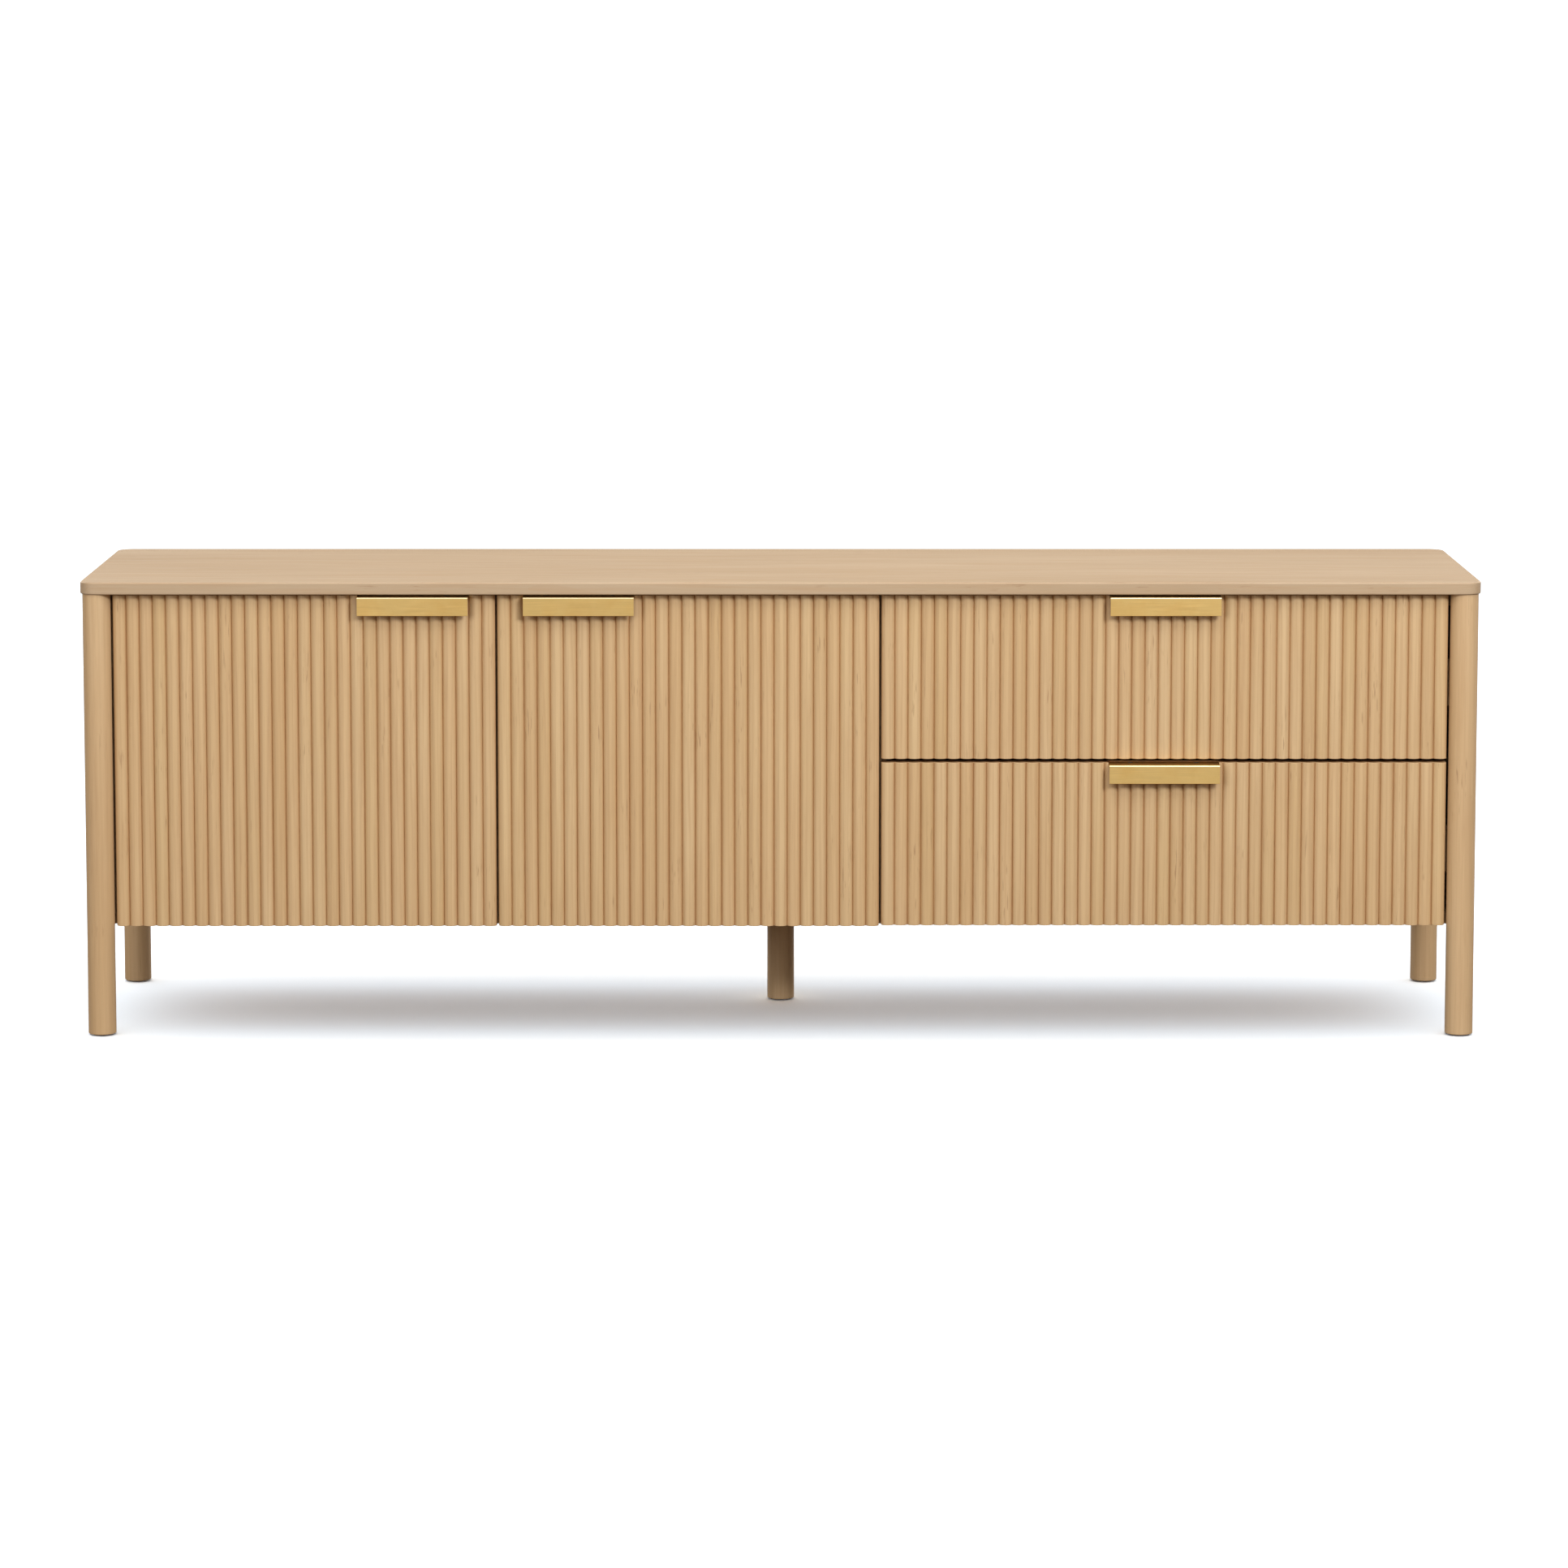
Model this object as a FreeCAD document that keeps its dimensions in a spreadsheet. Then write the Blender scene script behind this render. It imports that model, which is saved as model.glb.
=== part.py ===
import FreeCAD, Part
import math
import os
import Sketcher
from FreeCAD import Placement, Rotation, Vector

# Media cabinet: a slab top on four full-height round posts and a short centre leg, two reeded
# doors and two reeded drawers between the posts. Millimetres, +Z up, front towards -Y, origin on
# the floor under the middle of the top.

doc = FreeCAD.newDocument("media_cabinet")
sheet = doc.addObject("Spreadsheet::Sheet", "dim")

sizes = [
    ("width", 1800, "top, left to right"),
    ("depth", 400, "top, front to back"),
    ("height", 592, "floor to the upper face of the top"),
    ("slab_thick", 16, "top"),
    ("slab_edge", 2, "rounding of the top's edges"),
    ("overhang", 2.5, "top beyond the posts"),
    ("post_dia", 36, "posts and centre leg"),
    ("post_edge", 0.6, "chamfer at a post's foot"),
    ("glide_high", 2, "glide head under each leg"),
    ("glide_dia", 12, "glide head"),
    ("nail_dia", 3, "glide nail"),
    ("nail_long", 14, "glide nail"),
    ("dowel_dia", 10, "dowel between post and top"),
    ("dowel_in_slab", 9, "dowel's length in the top"),
    ("dowel_in_post", 21, "dowel's length in the post"),
    ("leg_y", 54, "centre leg behind the middle of the top"),
    ("leg_bolt_dia", 8, "bolt between the centre leg and the floor of the case"),
    ("leg_bolt_long", 40, "length of that bolt in the leg"),
    ("case_low", 142, "underside of the case above the floor"),
    ("side_thick", 18, "side panels"),
    ("board", 16, "floor, partitions and shelves"),
    ("rail_thick", 18, "rails under the top"),
    ("rail_wide", 60, "rails under the top"),
    ("back_thick", 6, "back panels"),
    ("back_gap", 0.5, "between back panels"),
    ("tongue_thick", 8, "side panel's tongue in the post"),
    ("tongue_deep", 8, "side panel's tongue in the post"),
    ("fit", 0.1, "clearance of glued and screwed joints, each side"),
    ("batten_wide", 60, "hinge batten and runner battens"),
    ("cable_dia", 60, "cable outlets in the back"),
    ("cable_up", 90, "cable outlet's centre above the case floor"),
    ("shelf_front", 66.5, "shelf behind the case's front edge"),
    ("shelf_back", 20, "shelf in front of the back panel, for cables"),
    ("shelf_side", 0.75, "shelf's clearance at each end"),
    ("peg_dia", 5, "shelf pegs"),
    ("peg_in", 8, "shelf peg's length in the wood"),
    ("peg_out", 9, "shelf peg's length under the shelf"),
    ("peg_wall", 7, "depth of a peg hole in a partition"),
    ("peg_inset", 28, "pegs from the shelf's front and back edges"),
    ("peg_pitch", 32, "rows of peg holes"),
    ("gap", 3, "beside and between the fronts"),
    ("top_gap", 2, "fronts below the top"),
    ("drawer_gap", 5, "between the drawer fronts"),
    ("door_lift", 1, "doors above the case's underside"),
    ("drawer_lift", 2, "lower drawer front above the case's underside"),
    ("slat_deep", 6, "slats"),
    ("slat_gap", 0.1, "hairline between slats"),
    ("door_thick", 16, "boards behind the slats"),
    ("door_clear", 3, "fronts before the case, whose edges are flush with the posts' inner sides"),
    ("door_slats", 29, "slats on a door"),
    ("drawer_slats", 43, "slats on a drawer front"),
    ("pull_wide", 142, "pulls"),
    ("pull_high", 24, "pull's hanging plate"),
    ("pull_thick", 2.5, "pull's metal"),
    ("pull_drop", 1.25, "pull's flange below the front's upper edge"),
    ("pull_seat", 14, "pull's flange on the board behind the slats"),
    ("pull_round", 1.5, "rounding of the pull's outer edge"),
    ("pull_lip", 0.625, "rounding of the hanging plate's lower edges"),
    ("pull_screw_in", 28.4, "pull's screws from the pull's ends"),
    ("pull_edge", 34, "door pull from the door's free edge"),
    ("pull_room", 0.5, "notch beside the pull's flange"),
    ("pin_in", 11, "hinge pin from the door's hinged edge"),
    ("pin_fore", 10, "hinge pin before the back of the door's board"),
    ("pin_dia", 3, "hinge pin"),
    ("pin_fit", 0.05, "hinge pin's running clearance, each side"),
    ("pin_long", 21.6, "hinge pin"),
    ("ear_low", 7, "ears that hold the pin, from the arm's middle"),
    ("ear_high", 9.8, "ears that hold the pin, from the arm's middle"),
    ("ear_wide", 5.5, "ears that hold the pin"),
    ("eye_dia", 6.4, "hinge arm's eye"),
    ("arm_thick", 3, "hinge arm"),
    ("arm_high", 12, "hinge arm"),
    ("arm_long", 78, "hinge arm from the pin"),
    ("arm_room", 0.5, "slot around the hinge arm"),
    ("cup_dia", 35, "hinge cup"),
    ("cup_in", 22.5, "hinge cup's centre from the hinged edge"),
    ("cup_deep", 14.7, "hinge cup"),
    ("cup_wall", 0.8, "hinge cup"),
    ("wing_in", 34, "cup screws from the hinged edge"),
    ("wing_wide", 11, "hinge cup's wing"),
    ("wing_long", 58, "hinge cup's wing"),
    ("wing_thick", 1, "hinge cup's wing"),
    ("wing_pitch", 48, "cup screws"),
    ("hinge_end", 80, "hinges from the door's ends"),
    ("plate_front", 26, "hinge plate behind the pin"),
    ("plate_long", 54, "hinge plate"),
    ("plate_high", 44, "hinge plate"),
    ("plate_pitch", 32, "hinge plate's screws"),
    ("edge_cut", 5, "chamfer on the door's hinged edge, at the back"),
    ("slide_room", 12.7, "drawer slide, wall to drawer"),
    ("slide_long", 300, "drawer slides"),
    ("slide_in", 2, "slides behind the case's front edge"),
    ("slide_metal", 1.2, "drawer slides"),
    ("outer_deep", 8, "slide's fixed member"),
    ("outer_high", 45, "slide's fixed member"),
    ("middle_in", 3, "slide's middle member from the wall"),
    ("middle_deep", 7, "slide's middle member"),
    ("inner_deep", 6.7, "slide's drawer member"),
    ("slide_play", 0.5, "between the slide's members"),
    ("slide_end", 64, "slide screws from the slide's ends"),
    ("box_thick", 12, "drawer box"),
    ("box_high", 145, "drawer box"),
    ("box_long", 300, "drawer box"),
    ("box_lift", 23.5, "drawer box above its front's lower edge"),
    ("base_thick", 6, "drawer's bottom"),
    ("base_lift", 8, "drawer's bottom above the box's lower edge"),
    ("base_in", 5, "drawer's bottom in its grooves"),
    ("front_screw_in", 60, "screws into the drawer front from the box's sides"),
    ("front_screw_low", 0.3, "lower screws into the drawer front, share of the box's height"),
    ("front_screw_high", 0.75, "upper screws into the drawer front, share of the box's height"),
    ("rail_screw_out", 0.9, "outer screws in a rail, share of the way to its end"),
    ("rail_screw_mid", 0.3, "inner screws in a rail, share of the way to its end"),
    ("floor_screw_at", 0.3, "screws in the case's floor, share of the depth from the middle"),
    ("screw_dia", 3.5, "screws"),
    ("head_dia", 7, "screw heads"),
    ("head_deep", 2, "screw heads"),
    ("cup_screw", 12, "length of the hinge cups' screws"),
    ("plate_screw", 14, "length of the hinge plates' screws"),
    ("pull_screw", 20, "length of the pulls' screws"),
    ("front_screw", 24, "length of the screws into the drawer front"),
    ("rail_screw", 8, "rail screws' length in the top"),
    ("floor_screw", 24, "floor screws' length in the partitions"),
    ("batten_screw", 12, "batten screws' length in the side panel"),
    ("pad_dia", 5, "soft pads behind the fronts"),
    ("pad_thick", 2.5, "soft pads behind the fronts"),
    ("pad_in", 1, "soft pads from the fronts' edges"),
    ("pad_end", 60, "door pads from the case's floor and from the rail"),
    ("over", 1, "cutting tools beyond the faces they open"),
]

for row, (alias, value, note) in enumerate(sizes, start=1):
    sheet.set(f"A{row}", str(value))
    sheet.setAlias(f"A{row}", alias)
    sheet.set(f"B{row}", note)
doc.recompute()

# Places that many pieces share, as expressions of the sheet's sizes.
slab_low = "(dim.height - dim.slab_thick)"
post_x = "(dim.width / 2 - dim.overhang - dim.post_dia / 2)"
post_y = "(dim.depth / 2 - dim.overhang - dim.post_dia / 2)"
side_in = f"({post_x} - dim.side_thick / 2)"
bay = f"(2 * ({post_x} - dim.post_dia / 2))"
pitch = f"(({bay} - 4 * dim.gap) / (2 * dim.door_slats + dim.drawer_slats))"
case_back = f"({post_y} - dim.post_dia / 2)"
case_front = f"(-{case_back})"
board_back = f"({case_front} - dim.door_clear)"
board_front = f"({board_back} - dim.door_thick)"
back_front = f"({case_back} - dim.back_thick)"
floor_top = "(dim.case_low + dim.board)"
rail_low = f"({slab_low} - dim.rail_thick)"
front_top = f"({slab_low} - dim.top_gap)"
door_low = "(dim.case_low + dim.door_lift)"
drawer_low = "(dim.case_low + dim.drawer_lift)"
drawer_high = f"(({front_top} - {drawer_low} - dim.drawer_gap) / 2)"
door_wide = f"(dim.door_slats * {pitch})"
drawer_wide = f"(dim.drawer_slats * {pitch})"
left_door_x = f"(dim.gap - {bay} / 2)"
middle_door_x = f"({left_door_x} + {door_wide} + dim.gap)"
drawer_x = f"({middle_door_x} + {door_wide} + dim.gap)"
drawer_end = f"({drawer_x} + {drawer_wide})"
wall_left = f"({left_door_x} - dim.gap / 2 + dim.board / 2)"
wall_centre = f"({middle_door_x} - dim.gap / 2)"
wall_drawer = f"({drawer_x} - dim.gap / 2)"
wall_right = f"({drawer_end} + dim.gap / 2 - dim.board / 2)"
shelf_low = f"(({floor_top} + {slab_low}) / 2 - dim.board / 2)"
pin_y = f"({board_back} - dim.pin_fore)"
slide_front = f"({case_front} + dim.slide_in)"
half_board = "dim.board / 2"

turn_to = {
    "x": Rotation(Vector(0, 0, 1), Vector(1, 0, 0)),
    "-x": Rotation(Vector(0, 0, 1), Vector(-1, 0, 0)),
    "y": Rotation(Vector(0, 0, 1), Vector(0, 1, 0)),
    "-y": Rotation(Vector(0, 0, 1), Vector(0, -1, 0)),
    "z": Rotation(),
    "-z": Rotation(Vector(1, 0, 0), 180),
}
same_place = 0.01
peg_steps = range(-2, 3)
pieces = []


def keep(piece, name):
    """Names a finished sub-part and puts it on the list to write."""
    piece.Label = name
    pieces.append(piece)
    return piece


def place(piece, x, y, z):
    """Binds a piece's position to the sheet."""
    for letter, value in zip("xyz", (x, y, z)):
        piece.setExpression(f".Placement.Base.{letter}", str(value))


def box(x, y, z):
    """A block between the low and high places given along each axis."""
    block = doc.addObject("Part::Box", "block")
    for side, (low, high) in zip(("Length", "Width", "Height"), (x, y, z)):
        block.setExpression(side, f"({high}) - ({low})")
    place(block, x[0], y[0], z[0])
    return block


def rod(start, direction, length, diameter):
    """A cylinder from start, running the way that direction names."""
    cylinder = doc.addObject("Part::Cylinder", "rod")
    cylinder.setExpression("Radius", f"({diameter}) / 2")
    cylinder.setExpression("Height", str(length))
    cylinder.Placement = Placement(Vector(), turn_to[direction])
    place(cylinder, *start)
    return cylinder


def taper(start, direction, length, start_dia, end_dia):
    """A cone frustum from start, running the way that direction names."""
    cone = doc.addObject("Part::Cone", "taper")
    cone.setExpression("Radius1", f"({start_dia}) / 2")
    cone.setExpression("Radius2", f"({end_dia}) / 2")
    cone.setExpression("Height", str(length))
    cone.Placement = Placement(Vector(), turn_to[direction])
    place(cone, *start)
    return cone


def fuse(parts):
    joined = doc.addObject("Part::MultiFuse", "joined")
    joined.Shapes = parts
    return joined


def group(parts):
    """Separate solids in one sub-part."""
    together = doc.addObject("Part::Compound", "group")
    together.Links = parts
    return together


def cut(base, tools):
    """Takes the tools out of the base, one after another."""
    for tool in tools:
        step = doc.addObject("Part::Cut", "cut")
        step.Base = base
        step.Tool = tool
        base = step
    return base


def around(middle, half):
    return (f"({middle}) - ({half})", f"({middle}) + ({half})")


def grown(span, room):
    return (f"({span[0]}) - ({room})", f"({span[1]}) + ({room})")


def sided(side, origin, low, high):
    """A span beside origin: towards +X when side is 1, mirrored when it is -1."""
    if side > 0:
        return (f"({origin}) + ({low})", f"({origin}) + ({high})")
    return (f"({origin}) - ({high})", f"({origin}) - ({low})")


def offset(side, origin, distance):
    sign = "+" if side > 0 else "-"
    return f"({origin}) {sign} ({distance})"


def screw(head, direction, length):
    """A countersunk screw with its head's face at head."""
    return fuse([
        taper(head, direction, "dim.head_deep", "dim.head_dia", "dim.screw_dia"),
        rod(head, direction, length, "dim.screw_dia"),
    ])


def screw_hole(head, direction, length):
    """The hole for that screw, looser all round."""
    room = "2 * dim.fit"
    return fuse([
        taper(head, direction, "dim.head_deep", f"dim.head_dia + {room}", f"dim.screw_dia + {room}"),
        rod(head, direction, f"{length} + dim.fit", f"dim.screw_dia + {room}"),
    ])


def plane_of(body, role):
    return next(item for item in body.Origin.OriginFeatures if item.Role == role)


def new_sketch(body, name, role):
    sketch = body.newObject("Sketcher::SketchObject", name)
    sketch.AttachmentSupport = [(plane_of(body, role), "")]
    sketch.MapMode = "FlatFace"
    return sketch


def constrain(sketch, kind, *geometry, value=None, formula=None):
    """Adds a constraint, bound to a formula when it has one."""
    if value is None:
        return sketch.addConstraint(Sketcher.Constraint(kind, *geometry))
    number = sketch.addConstraint(Sketcher.Constraint(kind, *geometry, value))
    sketch.setExpression(f"Constraints[{number}]", formula)
    return number


def polygon(sketch, corners):
    """Closed outline through corners: (x, y, x formula, y formula), the first at the origin."""
    count = len(corners)
    for index, (x, y, _, _) in enumerate(corners):
        after = corners[(index + 1) % count]
        sketch.addGeometry(Part.LineSegment(Vector(x, y, 0), Vector(after[0], after[1], 0)))
    for index in range(count):
        constrain(sketch, "Coincident", index, 2, (index + 1) % count, 1)
    constrain(sketch, "Coincident", 0, 1, -1, 1)
    for index, (x, y, x_formula, y_formula) in enumerate(corners[1:], start=1):
        for kind, value, formula in (("DistanceX", x, x_formula), ("DistanceY", y, y_formula)):
            if value == 0:
                align = "Vertical" if kind == "DistanceX" else "Horizontal"
                constrain(sketch, align, -1, 1, index, 1)
            else:
                constrain(sketch, kind, -1, 1, index, 1, value=value, formula=formula)


def cell(alias):
    return float(sheet.get(alias))


def pad(body, sketch, length):
    feature = body.newObject("PartDesign::Pad", "pad")
    feature.Profile = sketch
    feature.setExpression("Length", length)
    body.Tip = feature
    doc.recompute()
    return feature


def edges_where(feature, test):
    """Names of the edges whose ends and middle all pass the test."""
    names = []
    for number, edge in enumerate(feature.Shape.Edges, start=1):
        points = edge.discretize(3)
        if all(test(point) for point in points):
            names.append(f"Edge{number}")
    return names


def dress(body, kind, base, edges, prop, formula):
    """A fillet or chamfer on edges of the base feature."""
    feature = body.newObject(f"PartDesign::{kind}", kind.lower())
    feature.Base = (base, edges)
    feature.setExpression(prop, formula)
    body.Tip = feature
    doc.recompute()
    return feature


def near(a, b):
    return abs(a - b) < same_place


def new_body(name):
    return doc.addObject("PartDesign::Body", name)


# The top and what stands under it.

def make_slab():
    """Flat top with corners concentric with the posts and softly rounded edges."""
    width, depth, thick = cell("width"), cell("depth"), cell("slab_thick")
    body = new_body("slab")
    outline = new_sketch(body, "slab_outline", "XY_Plane")
    polygon(outline, [
        (0, 0, "", ""),
        (width, 0, "dim.width", ""),
        (width, depth, "dim.width", "dim.depth"),
        (0, depth, "", "dim.depth"),
    ])
    plate = pad(body, outline, "dim.slab_thick")

    uprights = edges_where(plate, lambda p: (near(p.x, 0) or near(p.x, width))
                           and (near(p.y, 0) or near(p.y, depth)))
    rounded = dress(body, "Fillet", plate, uprights, "Radius", "dim.overhang + dim.post_dia / 2")
    rims = edges_where(rounded, lambda p: near(p.z, 0) or near(p.z, thick))
    dress(body, "Fillet", rounded, rims, "Radius", "dim.slab_edge")
    place(body, "-dim.width / 2", "-dim.depth / 2", slab_low)
    holes = [rod((x, y, f"{slab_low} - dim.fit"), "z", "dim.dowel_in_slab + 2 * dim.fit",
                 "dim.dowel_dia + 2 * dim.fit") for x, y, _, _ in post_spots]
    holes += [screw_hole(*spot) for spot in rail_screws]
    keep(cut(body, holes), "top_slab")


def make_shaft(name, x, y, top):
    """Round leg from its glide up to top, chamfered at the foot."""
    body = new_body(name)
    circle = new_sketch(body, f"{name}_circle", "XY_Plane")
    radius = cell("post_dia") / 2
    circle.addGeometry(Part.Circle(Vector(), Vector(0, 0, 1), radius))
    constrain(circle, "Coincident", 0, 3, -1, 1)
    constrain(circle, "Radius", 0, value=radius, formula="dim.post_dia / 2")
    shaft = pad(body, circle, f"{top} - dim.glide_high")
    foot = edges_where(shaft, lambda p: near(p.z, 0))
    dress(body, "Chamfer", shaft, foot, "Size", "dim.post_edge")
    place(body, x, y, "dim.glide_high")
    return body


def make_post(name, x, y, slot_side):
    """Full-height post with a slot for the side panel's tongue and a hole for the top's dowel."""
    reach = "(dim.post_dia / 2 - dim.tongue_deep - dim.fit)"
    slot_y = sided(slot_side, y, reach, "dim.post_dia")
    slot = box(around(x, "dim.tongue_thick / 2 + dim.fit"), slot_y,
               ("dim.case_low - dim.fit", f"{slab_low} + dim.fit"))
    dowel_hole = rod((x, y, f"{slab_low} - dim.dowel_in_post - dim.fit"), "z",
                     "dim.dowel_in_post + 2 * dim.fit", "dim.dowel_dia + 2 * dim.fit")
    keep(cut(make_shaft("post", x, y, slab_low), [glide_hole(x, y), slot, dowel_hole]), name)


def make_centre_leg():
    """Short round leg under the case, set back from the front."""
    leg = make_shaft("centre", 0, "dim.leg_y", "dim.case_low")
    bolt_hole = rod((0, "dim.leg_y", "dim.case_low - dim.leg_bolt_long - dim.fit"), "z",
                    "dim.leg_bolt_long + 2 * dim.fit", "dim.leg_bolt_dia + 2 * dim.fit")
    keep(cut(leg, [glide_hole(0, "dim.leg_y"), bolt_hole]), "centre_leg")
    bolt = rod((0, "dim.leg_y", "dim.case_low - dim.leg_bolt_long"), "z",
               "dim.leg_bolt_long + dim.board", "dim.leg_bolt_dia")
    keep(bolt, "centre_leg_bolt")


def glide_hole(x, y):
    return rod((x, y, "dim.glide_high - dim.fit"), "z", "dim.nail_long + 2 * dim.fit",
               "dim.nail_dia + 2 * dim.fit")


def make_glides():
    """Nail-on glides: a flat head on the floor and a nail up into the wood."""
    spots = [(x, y) for x, y, _, _ in post_spots] + [("0", "dim.leg_y")]
    glides = []
    for x, y in spots:
        head = rod((x, y, 0), "z", "dim.glide_high", "dim.glide_dia")
        nail = rod((x, y, 0), "z", "dim.glide_high + dim.nail_long", "dim.nail_dia")
        glides.append(fuse([head, nail]))
    keep(group(glides), "foot_glides")


def make_dowels():
    """Dowels that hold the top on the posts."""
    dowels = [rod((x, y, f"{slab_low} - dim.dowel_in_post"), "z",
                  "dim.dowel_in_post + dim.dowel_in_slab", "dim.dowel_dia")
              for x, y, _, _ in post_spots]
    keep(group(dowels), "post_dowels")


# The case between the posts.

def make_side_panel(name, side):
    """Side panel between two posts, with a tongue at each end."""
    tongue = f"({case_back} + dim.tongue_deep)"
    z_span = ("dim.case_low", slab_low)
    centre = offset(side, "0", post_x)
    panel = fuse([
        box(around(centre, "dim.side_thick / 2"), (case_front, case_back), z_span),
        box(around(centre, "dim.tongue_thick / 2"), (f"-{tongue}", tongue), z_span),
    ])
    holes = []
    if side < 0:
        holes = [peg_hole(f"-{side_in}", "-x", y, z, "dim.peg_in") for y, z in peg_rows]
        holes += [screw_hole(*spot) for spot in batten_screws]
    keep(cut(panel, holes), name)


def rail_span(front):
    if front:
        return (case_front, f"{case_front} + dim.rail_wide")
    return (f"{back_front} - dim.rail_wide", back_front)


def rail_screw_spots(front):
    """Four screws up through a rail into the top."""
    low, high = rail_span(front)
    shares = ("-dim.rail_screw_out", "-dim.rail_screw_mid", "dim.rail_screw_mid", "dim.rail_screw_out")
    return [((f"{side_in} * ({share})", f"({low} + {high}) / 2", rail_low), "z",
             "dim.rail_thick + dim.rail_screw") for share in shares]


def make_rails():
    """Rails that tie the sides under the top, screwed up into it."""
    for front, name in ((True, "top_rail_front"), (False, "top_rail_rear")):
        rail = box((f"-{side_in}", side_in), rail_span(front), (rail_low, slab_low))
        holes = [screw_hole(*spot) for spot in rail_screw_spots(front)]
        keep(cut(rail, holes), name)


def floor_screw_spots(centre):
    """Three screws up through the floor into a partition."""
    places = ("-dim.depth * dim.floor_screw_at", "0", "dim.depth * dim.floor_screw_at")
    return [((centre, y, "dim.case_low"), "z", "dim.board + dim.floor_screw") for y in places]


def make_floor():
    """Floor of the case."""
    floor = box((f"-{side_in}", side_in), (case_front, back_front), ("dim.case_low", floor_top))
    bolt_hole = rod((0, "dim.leg_y", "dim.case_low - dim.fit"), "z", "dim.board + 2 * dim.fit",
                    "dim.leg_bolt_dia + 2 * dim.fit")
    keep(cut(floor, [bolt_hole] + [screw_hole(*spot) for spot in floor_screws]), "case_floor")


def make_partitions():
    """Partitions between the floor and the top, notched around the rails."""
    for name, centre in (("partition_left", wall_centre), ("partition_right", wall_drawer)):
        wall = box(around(centre, half_board), (case_front, back_front), (floor_top, slab_low))
        tools = [box(around(centre, "dim.board"), grown(rail_span(front), "dim.fit"),
                     grown((rail_low, slab_low), "dim.fit")) for front in (True, False)]
        tools += [screw_hole(*spot) for spot in floor_screw_spots(centre)]
        tools += [peg_hole(f"{centre} - {half_board}", "x", y, z, "dim.peg_wall")
                  for y, z in peg_rows]
        if name == "partition_left":
            tools += [peg_hole(f"{centre} + {half_board}", "-x", y, z, "dim.peg_wall")
                      for y, z in peg_rows]
        else:
            tools += [screw_hole(*spot) for spot in plate_screws["middle_door"]]
            tools += [screw_hole(*spot) for spot in slide_screws if spot[1] == "-x"]
        keep(cut(wall, tools), name)


def make_backs():
    """Back panels on the rear edges of the case; the two door bays have a cable outlet."""
    edges = [f"-{side_in}", wall_centre, wall_drawer, side_in]
    for index, name in enumerate(("back_panel_left", "back_panel_middle", "back_panel_right")):
        low, high = edges[index], edges[index + 1]
        trim = ("0" if index == 0 else "dim.back_gap / 2", "0" if index == 2 else "dim.back_gap / 2")
        back = box((f"{low} + {trim[0]}", f"{high} - {trim[1]}"), (back_front, case_back),
                   ("dim.case_low", slab_low))
        outlets = []
        if index < 2:
            outlets = [rod((f"({low} + {high}) / 2", f"{back_front} - dim.fit",
                            f"{floor_top} + dim.cable_up"), "y", "dim.back_thick + 2 * dim.fit",
                           "dim.cable_dia")]
        keep(cut(back, outlets), name)


def make_battens():
    """Battens that bring the hinge and slide faces in line with the fronts' edges."""
    hinge = box((f"-{side_in}", wall_left), (case_front, f"{case_front} + dim.batten_wide"),
                (floor_top, rail_low))
    holes = [screw_hole(*spot) for spot in batten_screws + plate_screws["left_door"]]
    keep(cut(hinge, holes), "hinge_batten")
    runners = []
    for low in drawer_lows:
        runners.append(box((wall_right, side_in), (case_front, f"{slide_front} + dim.slide_long"),
                           around(slide_z(low), "dim.batten_wide / 2")))
    holes = [screw_hole(*spot) for spot in slide_screws if spot[1] == "x"]
    half = len(holes) // 2
    keep(group([cut(runners[0], holes[:half]), cut(runners[1], holes[half:])]), "runner_battens")


def peg_hole(x, direction, y, z, deep):
    return rod((x, y, z), direction, f"{deep} + dim.fit", "dim.peg_dia + 2 * dim.fit")


def shelf_spans():
    """Name and left and right walls of each shelf."""
    return (("shelf_left", f"-{side_in}", f"{wall_centre} - {half_board}"),
            ("shelf_middle", f"{wall_centre} + {half_board}", f"{wall_drawer} - {half_board}"))


def make_shelves():
    """One shelf in each door bay, on four pegs."""
    pegs = []
    for name, low, high in shelf_spans():
        shelf = box((f"{low} + dim.shelf_side", f"{high} - dim.shelf_side"),
                    (f"{case_front} + dim.shelf_front", f"{back_front} - dim.shelf_back"),
                    (shelf_low, f"{shelf_low} + dim.board"))
        keep(shelf, name)
        for y in peg_places:
            z = f"{shelf_low} - dim.peg_dia / 2"
            low_in = "dim.peg_in" if name == "shelf_left" else "dim.peg_wall"
            pegs.append(rod((f"{low} - {low_in}", y, z), "x", f"{low_in} + dim.peg_out",
                            "dim.peg_dia"))
            pegs.append(rod((f"{high} - dim.peg_out", y, z), "x", "dim.peg_wall + dim.peg_out",
                            "dim.peg_dia"))
    keep(group(pegs), "shelf_pegs")


def make_pads():
    """Soft pads on the case's front edges, behind the fronts."""
    inset = "(dim.pad_dia / 2 + dim.pad_in)"
    spots = []
    for x in (f"{middle_door_x} - dim.gap - {inset}", f"{middle_door_x} + {inset}"):
        spots += [(x, f"{floor_top} + dim.pad_end"), (x, f"{rail_low} - dim.pad_end")]
    spots += [(f"{drawer_x} + {inset}", slide_z(low)) for low in drawer_lows]
    pads = [rod((x, case_front, z), "-y", "dim.pad_thick", "dim.pad_dia") for x, z in spots]
    keep(group(pads), "soft_pads")


# Hinges: a cup in the door turns on a pin held by an arm that is screwed to the case.

def hinge_heights():
    return (f"{door_low} + dim.hinge_end", f"{front_top} - dim.hinge_end")


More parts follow.
